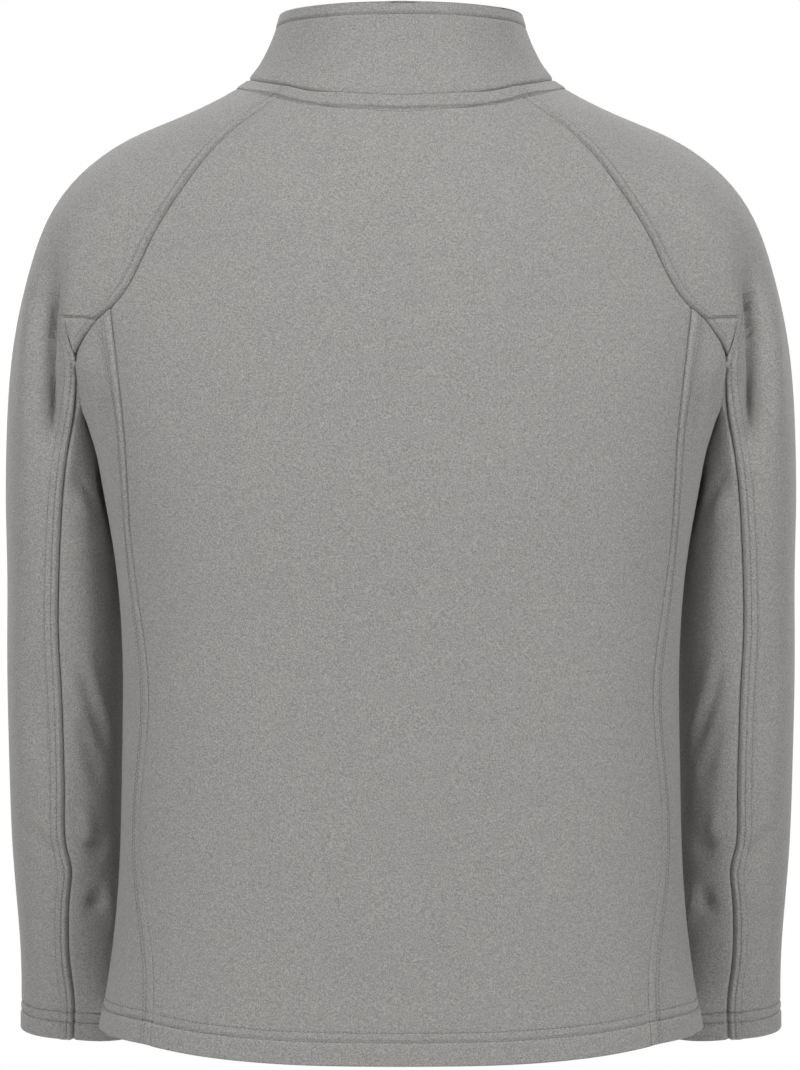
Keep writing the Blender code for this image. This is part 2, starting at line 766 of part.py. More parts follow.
def finished(name, mesh, look, collection):
    data = bpy.data.meshes.new(name)
    mesh.to_mesh(data)
    mesh.free()
    data.shade_smooth()
    data.set_sharp_from_angle(angle=math.radians(40))
    data.materials.append(new_material(name, *look))
    made = bpy.data.objects.new(name, data)
    collection.objects.link(made)
    return made


# ---------------------------------------------------------------- zip

def zip_line(collar, front):
    """The line down the centre front, and where the front's first column of cells leans to beside it."""
    upper = collar[::-1, -1]
    lower = front[1 : SLIT_ROWS + 2, 0]
    beside = front[1 : SLIT_ROWS + 2, 1]
    lean = (beside - lower) / (beside[:, :1] - lower[:, :1])
    line = np.concatenate([upper, lower]) * [0, 1, 1]
    return line, np.concatenate([np.tile([1.0, 0, 0], (len(upper), 1)), lean])


def line_frame(line, at):
    """A point on the zip's line at a distance down it, with the directions down it, out of it and across."""
    run = lengths(line)
    point, ahead, behind = (
        np.array([np.interp(place, run, line[:, axis]) for axis in range(3)])
        for place in (at, at + 2 * MM, at - 2 * MM)
    )
    down = (ahead - behind) / np.linalg.norm(ahead - behind)
    across = np.array([1.0, 0, 0])
    return point, (down, np.cross(down, across), across)


def ribbon(name, rows, look, collection):
    """A strip through rows of four corners, closed at both ends."""
    mesh = bmesh.new()
    corners = [[mesh.verts.new(point) for point in row] for row in rows]
    for upper, lower in zip(corners, corners[1:]):
        for i in range(4):
            j = (i + 1) % 4
            mesh.faces.new([upper[i], upper[j], lower[j], lower[i]])
    mesh.faces.new(corners[0][::-1])
    mesh.faces.new(corners[-1])
    bmesh.ops.recalc_face_normals(mesh, faces=mesh.faces)
    return finished(name, mesh, look, collection)


def strip_rows(line, places, edges, front, back, lean=None):
    """Corners of a strip on the zip's line: edges holds its two sides' distances across at each place."""
    rows = []
    run = lengths(line)
    for place, (near, far) in zip(places, edges):
        point, (down, out, across) = line_frame(line, place)
        beside = across
        if lean is not None:
            beside = np.array([np.interp(place, run, lean[:, axis]) for axis in range(3)])
        inner = point + across * near
        outer = point + across * min(far, SLIT_HALF) + beside * max(far - SLIT_HALF, 0)
        rows.append([inner + out * front, outer + out * front, outer + out * back, inner + out * back])
    return rows


def prism(name, outline, low, high, axes, look, collection):
    """An outline given in two directions of a frame, drawn out from low to high along the third."""
    first, second, third = axes
    mesh = bmesh.new()
    face = mesh.faces.new([mesh.verts.new(first * a + second * b + third * low) for a, b in outline])
    drawn = bmesh.ops.extrude_face_region(mesh, geom=[face])["geom"]
    moved = [thing for thing in drawn if isinstance(thing, bmesh.types.BMVert)]
    bmesh.ops.translate(mesh, verts=moved, vec=third * (high - low))
    bmesh.ops.recalc_face_normals(mesh, faces=mesh.faces)
    return finished(name, mesh, look, collection)


def rectangle(left, right, top, bottom):
    return [(left, top), (right, top), (right, bottom), (left, bottom)]


def cut_or_joined(body, tool, operation):
    tool.hide_render = True
    tool.display_type = "WIRE"
    change = body.modifiers.new(operation.lower(), "BOOLEAN")
    change.operation = operation
    change.solver = "EXACT"
    change.object = tool


def make_tapes_and_chain(line, lean, collection):
    run = lengths(line)
    neck = lengths(line[: COLLAR_ROWS + 1])[-1]
    slit_end = run[COLLAR_ROWS + SLIT_ROWS]
    step = neck + TAPE_STEP
    places = [PART_GAP, *run[1:COLLAR_ROWS], step, step + PART_GAP]
    widths = [COLLAR_TAPE_WIDTH] * (COLLAR_ROWS + 1) + [TAPE_WIDTH]
    below = run[COLLAR_ROWS + 1 : COLLAR_ROWS + SLIT_ROWS + 1]
    places += [*below, slit_end + TAPE_END]
    widths += [TAPE_WIDTH] * (len(below) + 1)
    edges = [(TAPE_GAP / 2, width) for width in widths]
    rows = np.array(strip_rows(line, places, edges, TAPE_FRONT, TAPE_FRONT - TAPE_THICK, lean))
    ribbon("zip_tape_left", rows, TAPE_LOOK, collection)
    ribbon("zip_tape_right", rows * [-1, 1, 1], TAPE_LOOK, collection)

    stop_at = slit_end - BOTTOM_STOP_LENGTH - BOTTOM_STOP_RISE
    ends = SLIDER_AT + SLIDER_LENGTH + PART_GAP, stop_at - PART_GAP
    places = [ends[0], *(place for place in run if ends[0] < place < ends[1]), ends[1]]
    edges = [(-CHAIN_HALF, CHAIN_HALF)] * len(places)
    ribbon("zip_chain", strip_rows(line, places, edges, CHAIN_FRONT, CHAIN_BACK), NYLON_LOOK, collection)
    places = stop_at, stop_at + BOTTOM_STOP_LENGTH
    edges = [(-CHAIN_HALF - PART_GAP, CHAIN_HALF + PART_GAP)] * 2
    ribbon("zip_bottom_stop", strip_rows(line, places, edges, 0, CHAIN_BACK), NYLON_LOOK, collection)
    places = TOP_STOP_AT, TOP_STOP_AT + TOP_STOP_LENGTH
    rows = np.array(strip_rows(line, places, [(PART_GAP, CHAIN_HALF)] * 2, CHAIN_FRONT, CHAIN_BACK))
    ribbon("zip_top_stop_left", rows, NYLON_LOOK, collection)
    ribbon("zip_top_stop_right", rows * [-1, 1, 1], NYLON_LOOK, collection)


def make_slider_and_pull(line, collection, cutters):
    point, (down, out, across) = line_frame(line, SLIDER_AT)
    half, foot, length = SLIDER_HALF, SLIDER_FOOT_HALF, SLIDER_LENGTH
    side = [
        (half - SLIDER_CORNER, 0),
        (half, SLIDER_CORNER),
        (half, SLIDER_SHOULDER),
        (foot, length - SLIDER_CORNER),
        (foot - SLIDER_CORNER, length),
    ]
    outline = side + [(-x, along) for x, along in side[::-1]]
    axes = across, down, out
    slider = prism("zip_slider", outline, CHAIN_BACK, SLIDER_FRONT, axes, ENAMEL_LOOK, collection)
    slider.location = point

    # The arch is open at its ends' feet only: the tab's bar runs through it from side to side.
    root, top = SLIDER_FRONT - BRIDGE_ROOT, SLIDER_FRONT + BRIDGE_HEIGHT
    start, end, corner = BRIDGE_START, BRIDGE_END, BRIDGE_CORNER
    arch = [
        (start, root),
        (start, top - corner),
        (start + corner, top),
        (end - corner, top),
        (end, top - corner),
        (end, root),
        (end - BRIDGE_WALL, root),
        (end - BRIDGE_WALL, top - BRIDGE_WALL),
        (start + BRIDGE_WALL, top - BRIDGE_WALL),
        (start + BRIDGE_WALL, root),
    ]
    sideways = down, out, across
    bridge = prism("slider_bridge", arch, -BRIDGE_HALF, BRIDGE_HALF, sideways, ENAMEL_LOOK, cutters)
    bridge.location = point
    cut_or_joined(slider, bridge, "UNION")

    bar = TAB_BAR / 2
    tip = TAB_LENGTH - bar
    corner, shoulder = TAB_CORNER, TAB_CORNER * (1 - math.sqrt(0.5))
    outline = [
        (TAB_HALF - shoulder, -bar),
        (TAB_HALF, shoulder - bar),
        (TAB_HALF, tip - corner),
        (TAB_HALF - shoulder, tip - shoulder),
        (TAB_HALF - corner, tip),
    ]
    outline += [(-x, along) for x, along in outline[::-1]]
    pull = prism("zip_pull", outline, -TAB_THICK / 2, TAB_THICK / 2, axes, ENAMEL_LOOK, collection)
    window = rectangle(-WINDOW_HALF, WINDOW_HALF, bar, bar + WINDOW_LENGTH)
    cutter = prism("tab_window", window, -TAB_THICK, TAB_THICK, axes, ENAMEL_LOOK, cutters)
    cut_or_joined(pull, cutter, "DIFFERENCE")
    pivot = point + down * TAB_AXIS + out * (SLIDER_FRONT + (BRIDGE_HEIGHT - BRIDGE_WALL) / 2)
    pull.location = cutter.location = pivot


# ---------------------------------------------------------------- the whole pullover

def clear_scene():
    for thing in list(bpy.data.objects):
        bpy.data.objects.remove(thing, do_unlink=True)


def new_collection(name):
    made = bpy.data.collections.new(name)
    bpy.context.scene.collection.children.link(made)
    return made


def make_cloth(back, front, collar, collection):
    # Between the two edges of the slit the front is one cloth below the slit only.
    front_whole = np.concatenate([front[:, ::-1], mirrored(front)[:, ::-1]], axis=1)
    middle = front.shape[1] - 1
    slit = {(row, middle) for row in range(SLIT_ROWS)}
    side = side_panel()
    top, sleeve_front = top_sleeve()
    under = under_sleeve(sleeve_front, side)
    panels = [
        Panel("back_panel", [both_halves(back)]),
        Panel("front_panel", [front_whole], left_out=slit),
        Panel("collar", [both_halves(collar)[::-1]], COLLAR_CLOTH),
        Panel("side_panel_left", [side]),
        Panel("side_panel_right", [mirrored(side)]),
        Panel("top_sleeve_left", top),
        Panel("top_sleeve_right", [mirrored(grid) for grid in top]),
        Panel("under_sleeve_left", [under], turned=True),
        Panel("under_sleeve_right", [mirrored(under)], turned=True),
    ]
    share_normals([panel for panel in panels if panel.name != "collar"])
    for panel in panels:
        wall(panel, FLEECE_LOOK, collection)


def main():
    clear_scene()
    parts, cutters = new_collection("zip_fleece_pullover"), new_collection("cutters")
    cutters.hide_render = True
    back, front, collar = back_half(), front_half(), collar_half()
    make_cloth(back, front, collar, parts)
    line, lean = zip_line(collar, front)
    make_tapes_and_chain(line, lean, parts)
    make_slider_and_pull(line, parts, cutters)


main()
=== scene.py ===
import math
import bmesh
import bpy
import numpy as np
from mathutils import Matrix, Vector, noise
from mathutils.bvhtree import BVHTree


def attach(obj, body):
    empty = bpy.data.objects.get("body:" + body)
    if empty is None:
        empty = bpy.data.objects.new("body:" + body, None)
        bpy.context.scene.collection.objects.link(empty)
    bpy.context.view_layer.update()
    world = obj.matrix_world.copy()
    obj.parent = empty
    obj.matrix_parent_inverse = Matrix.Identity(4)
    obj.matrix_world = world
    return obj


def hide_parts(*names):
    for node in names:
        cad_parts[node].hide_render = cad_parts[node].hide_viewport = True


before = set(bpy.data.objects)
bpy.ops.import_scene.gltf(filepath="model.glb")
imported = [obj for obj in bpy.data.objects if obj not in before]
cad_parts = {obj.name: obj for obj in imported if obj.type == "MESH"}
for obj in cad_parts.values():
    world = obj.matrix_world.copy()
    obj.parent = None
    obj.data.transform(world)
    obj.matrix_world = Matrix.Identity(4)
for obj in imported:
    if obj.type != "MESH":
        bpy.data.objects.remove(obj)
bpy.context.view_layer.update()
mm = 0.001
print("frame loaded:", len(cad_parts), "nodes")


# the hollow form of the cloth: a torso, two arms and the soft join between them, in millimetres

torsoTable = [  # height, half width, widest at, back, front, back squareness, front squareness
    (40, 88, 0, 66, -74, 2.0, 2.0),
    (10, 104, 0, 77, -84, 2.0, 2.0),
    (-20, 132, 2, 87, -91, 2.1, 2.0),
    (-50, 164, 4, 98, -98, 2.2, 2.0),
    (-85, 194, 7, 108, -105, 2.3, 2.0),
    (-120, 217, 9, 115, -113, 2.3, 2.0),
    (-160, 237, 11, 121, -121, 2.3, 2.0),
    (-200, 244, 12, 125, -127, 2.3, 1.95),
    (-245, 238, 14, 127, -130, 2.3, 1.9),
    (-300, 225, 16, 128, -130, 2.3, 1.85),
    (-380, 212, 17, 125, -127, 2.3, 1.9),
    (-500, 209.5, 16, 121, -124, 2.3, 1.95),
    (-600, 212.5, 14, 122, -125, 2.3, 1.95),
    (-660, 219.5, 12, 124, -126, 2.3, 1.95),
    (-715, 229, 12, 127, -127, 2.3, 1.95),
]

armTable = [  # x, y, z, half across, half deep, squareness
    (40, -3, -30, 42, 58, 2.0),
    (100, -3, -55, 55, 66, 2.0),
    (163, -4, -81, 61, 72, 2.0),
    (211.8, -7, -109, 56, 75, 2.1),
    (231.6, -11, -146, 52, 75, 2.2),
    (249.7, -18, -200, 46, 73, 2.4),
    (259.4, -24, -250, 41, 68, 2.5),
    (260, -30, -300, 42.8, 66, 2.5),
    (258, -36, -360, 45, 63, 2.4),
    (257, -42, -430, 47, 59, 2.3),
    (256.5, -48, -500, 47, 55, 2.2),
    (255, -56, -580, 46.4, 50, 2.1),
    (252.2, -65, -650, 45.5, 44, 2.0),
    (252.8, -76, -728, 46, 37, 2.0),
]

blendTable = [  # height, radius of the soft join
    (60, 46), (-120, 46), (-190, 26), (-240, 10), (-300, 2), (-900, 2),
]

formLook = {
    "partedFrom": -185,                                # mm: the height below which body and sleeve part
    "bodyParts": (60, 70), "sleeveParts": (55, 90),    # mm down over which they part, and by how many mm
    "armSamples": 241, "nearings": 4, "nearing": 0.8,  # steps towards the nearest point on the arm's line
    "far": 260, "halvings": 19,                        # mm that a search for the surface reaches, its steps
    "chunk": 4000,                                     # points looked up at once
}
tiny = 1e-15  # added to a length before dividing by it, since it may be nothing


def spline(keys, values):
    keys = np.asarray(keys, float)
    values = np.asarray(values, float).reshape(len(keys), -1)
    step = np.diff(keys)
    slope = np.diff(values, axis=0) / step[:, None]
    system, right = np.eye(len(keys)), np.zeros_like(values)
    for i in range(1, len(keys) - 1):
        system[i, i - 1 : i + 2] = step[i - 1], 2 * (step[i - 1] + step[i]), step[i]
        right[i] = 6 * (slope[i] - slope[i - 1])
    bend = np.linalg.solve(system, right)

    def at(key):
        key = np.clip(np.asarray(key, float), keys[0], keys[-1])
        i = np.clip(np.searchsorted(keys, key) - 1, 0, len(step) - 1)
        h = step[i][..., None]
        a, b = (keys[i + 1] - key)[..., None], (key - keys[i])[..., None]
        return (
            (bend[i] * a**3 + bend[i + 1] * b**3) / (6 * h)
            + (values[i] / h - bend[i] * h / 6) * a
            + (values[i + 1] / h - bend[i + 1] * h / 6) * b
        )

    return at


def lengths(points):
    return np.concatenate([[0], np.cumsum(np.linalg.norm(np.diff(points, axis=0), axis=1))])


def eased(value, low, high):  # 0 below low, 1 above high, smooth between
    t = np.clip((value - low) / (high - low), 0, 1)
    return t * t * (3 - 2 * t)


torsoRows = np.array(torsoTable, float)[::-1]
torsoRows[:, :5] *= mm
torsoAt = spline(torsoRows[:, 0], torsoRows[:, 1:])
blendRows = np.array(blendTable, float)[::-1] * mm
armRows = np.array(armTable, float)
armRows[:, :5] *= mm
armKeys = lengths(armRows[:, :3])
armAt = spline(armKeys, armRows)
armSamples = np.linspace(0, armKeys[-1], formLook["armSamples"])
armLine = armAt(armSamples)[:, :3]


def armFrame(along):
    row = armAt(along)
    tangent = armAt(along + mm)[..., :3] - armAt(along - mm)[..., :3]
    tangent /= np.linalg.norm(tangent, axis=-1, keepdims=True)
    outward = np.stack([-tangent[..., 2], np.zeros_like(tangent[..., 0]), tangent[..., 0]], -1)
    outward /= np.linalg.norm(outward, axis=-1, keepdims=True)
    return row[..., :3], tangent, outward, np.cross(outward, tangent), row[..., 3], row[..., 4], row[..., 5]


def squaredDistance(u, v, half, deep, square):
    u, v = np.abs(u) + 1e-9, np.abs(v) + 1e-9
    reach = (u**square + v**square) ** (1 / square)
    grade = np.hypot((u / reach) ** (square - 1) / half, (v / reach) ** (square - 1) / deep)
    return (reach - 1) / grade


def torsoDistance(point):
    half, widest, back, front, backSquare, frontSquare = np.moveaxis(torsoAt(point[..., 2]), -1, 0)
    y = point[..., 1] - widest
    deep = np.where(y > 0, back - widest, widest - front)
    square = np.where(y > 0, backSquare, frontSquare)
    return squaredDistance(point[..., 0] / half, y / deep, half, deep, square)


def armPlace(point):  # along the arm, and outward and backward in shares of its half sizes
    flat, chunk = point.reshape(-1, 3), formLook["chunk"]
    along = np.empty(len(flat))
    for start in range(0, len(flat), chunk):
        off = ((flat[start : start + chunk, None] - armLine[None]) ** 2).sum(-1)
        along[start : start + chunk] = armSamples[off.argmin(1)]
    for _ in range(formLook["nearings"]):
        middle, tangent, *_ = armFrame(along)
        ahead = ((flat - middle) * tangent).sum(-1)
        along = np.clip(along + ahead * formLook["nearing"], 0, armKeys[-1])
    middle, tangent, outward, backward, across, deep, square = armFrame(along)
    away = flat - middle
    u, v = (away * outward).sum(-1) / across, (away * backward).sum(-1) / deep
    return [value.reshape(point.shape[:-1]) for value in (along, u, v, across, deep, square)]


def armDistance(point):
    return squaredDistance(*armPlace(point)[1:])


def blended(torso, arm, point):
    radius = np.interp(point[..., 2], blendRows[:, 0], blendRows[:, 1])
    mix = np.clip(0.5 + 0.5 * (arm - torso) / radius, 0, 1)
    return arm * (1 - mix) + torso * mix - radius * mix * (1 - mix)


def formDistance(point):
    return blended(torsoDistance(point), armDistance(point), point)


def parted(point, over, off):  # a distance that grows downwards from the underarm
    return np.clip((formLook["partedFrom"] * mm - point[..., 2]) / (over * mm), 0, 1) * off * mm


def armLeftOut(point):  # for the body: the arm joins in above the underarm only
    away = parted(point, *formLook["bodyParts"])
    return blended(torsoDistance(point), armDistance(point) + away, point)


def torsoLeftOut(point):  # for the sleeves: the torso joins in above the underarm only
    away = parted(point, *formLook["sleeveParts"])
    return blended(torsoDistance(point) + away, armDistance(point), point)


def reachSurface(origin, direction, distance):  # where lines from inside the form come out of it
    low, high = np.zeros(origin.shape[:-1]), np.full(origin.shape[:-1], formLook["far"] * mm)
    for _ in range(formLook["halvings"]):
        middle = (low + high) / 2
        inside = distance(origin + direction * middle[..., None]) < 0
        low, high = np.where(inside, middle, low), np.where(inside, high, middle)
    return origin + direction * ((low + high) / 2)[..., None]


def faceOn(plan, side, distance=formDistance, within=0.0):  # x and z, from behind (1) or in front (-1)
    origin = np.stack([plan[..., 0], within + np.zeros_like(plan[..., 0]), plan[..., 1]], -1)
    return reachSurface(origin, np.array([0.0, float(side), 0.0]), distance)


def faceOnSleeve(plan, side):  # the same for a line of points on the sleeve
    return faceOn(plan, side, torsoLeftOut, np.interp(-plan[:, 1], -armRows[:, 2], armRows[:, 1]))


def roundArm(place, distance):
    middle, _, outward, backward, across, deep, _ = armFrame(place[..., 0])
    u, v = across * np.cos(place[..., 1]), deep * np.sin(place[..., 1])
    direction = (outward * u[..., None] + backward * v[..., None]) / np.hypot(u, v)[..., None]
    return reachSurface(middle, direction, distance)


def armPlaces(points):
    along, u, v, *_ = armPlace(points)
    return np.stack([along, np.unwrap(np.arctan2(v, u))], -1)


# seams of the wearer's left half, in millimetres

neckTable = [  # x, y, z from the centre back to the centre front
    (0, 82, -14), (46, 77, -10.5), (70, 67, -6), (80, 60, -2.6), (98, 43, 3), (110, 22, 8), (115, 0, 11),
    (112, -22, 6), (102, -45, -7), (85, -66, -25), (60, -82, -45), (30, -92, -60), (0, -95, -66),
]
neckBackCorner, neckFrontCorner = 3, 9  # rows where the raglan seams reach the neck

collarEdgeTable = [
    (0, 70, 59.5), (40, 63, 59.5), (68, 47, 60), (85, 27, 60.5), (92.5, 2, 59.5), (89, -24, 53),
    (74, -48, 37), (46, -67, 15), (0, -76, -3),
]

raglanBackTable = [  # x, z seen from behind
    (80, -2.6), (111.3, -24), (141.3, -52.5), (162, -81.5), (184, -118), (202.6, -154), (214, -167),
    (224.6, -175),
]

raglanFrontTable = [  # x, z seen from the front
    (85, -25), (110, -47), (138, -74), (160, -101), (183, -134), (202, -163), (213, -175), (223, -183),
]

underarmTable = [  # x, y, z from the back of the armhole round under the arm to its front
    (224.6, 68.5, -175), (235.5, 62, -189), (241, 55.5, -201), (239, 47, -219), (238, 41, -236),
    (234.5, 30, -251), (229, 8, -260), (227, -18, -261), (228, -42, -250), (231.5, -63, -225),
    (230, -78, -199), (223, -82, -183),
]
gussetRow = 2  # where the small triangle behind the arm comes to its point

sideBackTable = [  # x, z seen from behind
    (214, -167), (208, -216), (203, -268), (200, -330), (191, -400), (186, -445), (188.5, -492),
    (193, -545), (189, -600), (182, -650), (183, -707),
]

sideFrontTable = [  # x, z seen from the front
    (213, -175), (208, -225), (201, -300), (195, -400), (192, -500), (193, -600), (200, -703),
]

elbowTable = [  # x, z down the outer side of the small triangle, then to the cuff
    (249.2, -173.6), (246.5, -188), (241, -201), (239.8, -218), (242.5, -238), (249, -272), (253, -303),
    (255.5, -334), (257.4, -368), (258.3, -411), (256.8, -449), (256, -492), (256, -540), (256.1, -564),
    (254.5, -575), (251.5, -588), (252.8, -604), (255.3, -638.5), (254.8, -663), (252.2, -688.5),
    (253.3, -724),
]

garment = {
    "hemBack": -715, "hemSide": -705, "hemFront": -702,
    "slitHalf": 4.6, "slitBottom": -272,
    "raglanDraw": 38,                          # mm down a raglan seam over which it turns in to the neck
    "frontSleeveSeam": -114,                   # degrees round the arm from its outer line
    "frontSleeveSeamEase": 120, "cuffRise": 5, "cuffDrop": 3,
    "sideAxis": 100,                           # mm in from the side: what the side panel turns about
    "clearance": 4.0, "clearFrom": 45,         # mm between a sleeve and the side, full from so far down
    "clearNear": (9, 24),                      # mm away from the side over which the push fades
    "capRise": [  # mm down the top sleeve, mm that its middle rises
        (0, 0), (110, 12), (245, 36), (300, 36), (520, 2), (600, 0), (900, 0),
    ],
    "collarBow": 2.4,
    "draw": {"body": 55, "side": 30, "triangle": 12, "topSleeve": 40, "underSleeve": 25},  # mm beside seams
}

mesh = {"cell": 5.2, "growth": 1.2, "seamCell": 1.0, "seamRun": 9, "hemCell": 1.25, "hemRun": 27}  # mm


def through(table, shares, first=0, last=None):
    points = np.asarray(table, float) * mm
    along = lengths(points)
    curve = spline(along, points)
    fine = np.linspace(along[first], along[-1 if last is None else last], 600)
    length = lengths(curve(fine))
    return curve(np.interp(np.asarray(shares) * length[-1], length, fine))


def stops(length, start, end, most=mesh["cell"]):  # shares of a length; each end is (cell, fine run)
    ahead = [start[0]] * max(1, round(start[1] / start[0]))
    behind = [end[0]] * max(1, round(end[1] / end[0]))
    while sum(ahead) + sum(behind) < length:
        side = ahead if ahead[-1] <= behind[-1] else behind
        side.append(min(side[-1] * mesh["growth"], most))
    sizes = np.array(ahead + behind[::-1])
    return np.concatenate([[0], np.cumsum(sizes) / sizes.sum()])


seamEnd = (mesh["seamCell"], mesh["seamRun"])
plainEnd = (mesh["cell"], 0)
hemEnd = (mesh["hemCell"], mesh["hemRun"])
seamStops = {  # along each line of points, from its rough length in mm and the cells at its two ends
    "half": stops(205, plainEnd, seamEnd),       # centre line to a seam
    "frontHalf": stops(205, (1.1, 9), seamEnd),
    "raglan": stops(220, (1.0, 14), (2.0, 4)),   # neck to the side panel
    "corner": np.linspace(0, 1, 9),
    "side": stops(545, (2.0, 4), hemEnd),
    "cap": stops(190, seamEnd, seamEnd),         # round the top sleeve
    "under": stops(150, (1.4, 6), seamEnd),
    "gusset": stops(42, (1.4, 4), (3.0, 3)),
    "gussetAcross": np.linspace(0, 1, 7),
    "sleeve": stops(515, (3.0, 3), hemEnd),
    "collar": stops(74, (1.0, 6), (1.0, 13)),
}

neckBack = through(neckTable, seamStops["half"], 0, neckBackCorner)
neckCap = through(neckTable, seamStops["cap"], neckBackCorner, neckFrontCorner)
neckFront = through(neckTable, 1 - seamStops["frontHalf"][::-1], neckFrontCorner)
slitHalf = garment["slitHalf"] * mm
neckFront[:, 0] = slitHalf + neckFront[:, 0] * (1 - slitHalf / neckFront[0, 0])
neckHalf = np.concatenate([neckBack, neckCap[1:], neckFront[1:]])


def raglanSeam(table, side, neckCorner):
    upper = faceOn(through(table, seamStops["raglan"], 0, len(table) - 2), side)
    lower = faceOn(through(table, seamStops["corner"], len(table) - 2), side)
    fade = np.exp(-((lengths(upper) / (garment["raglanDraw"] * mm)) ** 2))[:, None]
    return upper + fade * (neckCorner - upper[0]), lower


raglanBack, raglanBackEnd = raglanSeam(raglanBackTable, 1, neckCap[0])
raglanFront, raglanFrontEnd = raglanSeam(raglanFrontTable, -1, neckCap[-1])
raglanBackEnd[0], raglanFrontEnd[0] = raglanBack[-1], raglanFront[-1]
gusset = through(underarmTable, seamStops["gusset"], 0, gussetRow)
underarm = through(underarmTable, seamStops["under"], gussetRow)
gusset[0], underarm[0], underarm[-1] = raglanBackEnd[-1], gusset[-1], raglanFrontEnd[-1]
sideBack = faceOn(through(sideBackTable, seamStops["side"]), 1, armLeftOut)
sideFront = faceOn(through(sideFrontTable, seamStops["side"]), -1, armLeftOut)
sideBack[0], sideFront[0] = raglanBack[-1], raglanFront[-1]
elbowPlan = np.concatenate([
    through(elbowTable, seamStops["gusset"], 0, gussetRow),
    through(elbowTable, seamStops["sleeve"], gussetRow)[1:],
])
elbow = faceOnSleeve(elbowPlan, 1)
elbow[len(gusset) - 1] = underarm[0]
elbowUpper, elbowLower = elbow[: len(gusset)], elbow[len(gusset) - 1 :]
frontStart = raglanFrontEnd[-1]
armhole = np.concatenate([raglanBackEnd, gusset[1:], underarm[1:], raglanFrontEnd[::-1][1:]])


# panels as grids of points between their seams

def patch(top, bottom, left, right, down, over):
    v, u = np.asarray(down)[:, None, None], np.asarray(over)[None, :, None]
    corners = (1 - v) * ((1 - u) * top[0] + u * top[-1]) + v * ((1 - u) * bottom[0] + u * bottom[-1])
    return (1 - u) * left[:, None] + u * right[:, None] + (1 - v) * top[None] + v * bottom[None] - corners


def runs(grid, axis):  # distance along the grid's own lines from its first row or column
    steps = np.linalg.norm(np.diff(grid, axis=axis), axis=-1)
    first = np.zeros_like(grid[..., 0]).take([0], axis)
    return np.concatenate([first, np.cumsum(steps, axis)], axis)


def drawnToSeams(grid, top, left, right, part):  # its edges moved onto the seams, with the cloth near them
    reach, down, over = garment["draw"][part] * mm, runs(grid, 0), runs(grid, 1)
    nearTop = np.exp(-((down / reach) ** 2))[..., None]
    nearLeft = np.exp(-((over / reach) ** 2))[..., None]
    nearRight = np.exp(-(((over[:, -1:] - over) / reach) ** 2))[..., None]
    offTop = top - grid[0]
    moved = grid + nearTop * offTop[None]
    for near, off, end in ((nearLeft, left - grid[:, 0], 0), (nearRight, right - grid[:, -1], -1)):
        moved += near * (off[:, None] - nearTop * offTop[end])
    return moved


def share(points, axis=2):
    return (points[0, axis] - points[:, axis]) / (points[0, axis] - points[-1, axis])


def bodyHalf(neck, seam, side, middleX, middleZ, over):  # from the centre line to the seam
    left = np.stack([np.full(len(seam), middleX), middleZ], -1)
    hemX = middleX + (seam[-1, 0] - middleX) * over
    hemZ = middleZ[-1] + (seam[-1, 2] - middleZ[-1]) * over**3
    plan = patch(neck[:, [0, 2]], np.stack([hemX, hemZ], -1), left, seam[:, [0, 2]], share(seam), over)
    grid = faceOn(plan, side, armLeftOut)
    return drawnToSeams(grid, neck, grid[:, 0], seam, "body")


def backHalf():
    seam = np.concatenate([raglanBack, sideBack[1:]])
    middleZ = neckBack[0, 2] + (garment["hemBack"] * mm - neckBack[0, 2]) * share(seam)
    return bodyHalf(neckBack, seam, 1, 0.0, middleZ, seamStops["half"])


def frontHalf():
    seam = np.concatenate([raglanFront, sideFront[1:]])
    middleZ = neckFront[-1, 2] + (garment["hemFront"] * mm - neckFront[-1, 2]) * share(seam)
    slitRow = int(np.abs(middleZ - garment["slitBottom"] * mm).argmin())  # a row lies on the slit's end
    shift = garment["slitBottom"] * mm - middleZ[slitRow]
    middleZ += shift * np.interp(np.arange(len(middleZ)), [0, slitRow, len(middleZ) - 1], [0, 1, 0])
    return bodyHalf(neckFront[::-1], seam, -1, slitHalf, middleZ, seamStops["frontHalf"]), slitRow


def sidePanel():
    over = lengths(armhole) / lengths(armhole)[-1]

    def axis(z):
        half, widest = np.moveaxis(torsoAt(z)[..., :2], -1, 0)
        return half - garment["sideAxis"] * mm, widest

    def turned(points):
        x, y = axis(points[:, 2])
        return np.stack([np.arctan2(points[:, 1] - y, points[:, 0] - x), points[:, 2]], -1)

    ends = turned(np.array([sideBack[-1], sideFront[-1]]))
    bottom = ends[0] + (ends[1] - ends[0]) * over[:, None]
    bottom[:, 1] += (garment["hemSide"] * mm - bottom[:, 1]) * np.sin(math.pi * over) ** 0.5
    plan = patch(turned(armhole), bottom, turned(sideBack), turned(sideFront), seamStops["side"], over)
    x, y = axis(plan[..., 1])
    direction = np.stack([np.cos(plan[..., 0]), np.sin(plan[..., 0]), np.zeros_like(x)], -1)
    grid = reachSurface(np.stack([x, y, plan[..., 1]], -1), direction, torsoDistance)
    return drawnToSeams(grid, armhole, sideBack, sideFront, "side")


def sleeveFrontSeam(shares):
    start = armPlaces(frontStart[None])[0]
    along = start[0] + (armKeys[-1] - garment["cuffRise"] * mm - start[0]) * shares
    turn = eased(along - along[0], 0, garment["frontSleeveSeamEase"] * mm)
    angle = start[1] + (math.radians(garment["frontSleeveSeam"]) - start[1]) * turn
    points = roundArm(np.stack([along, angle], -1), torsoLeftOut)
    points[0] = frontStart
    return points


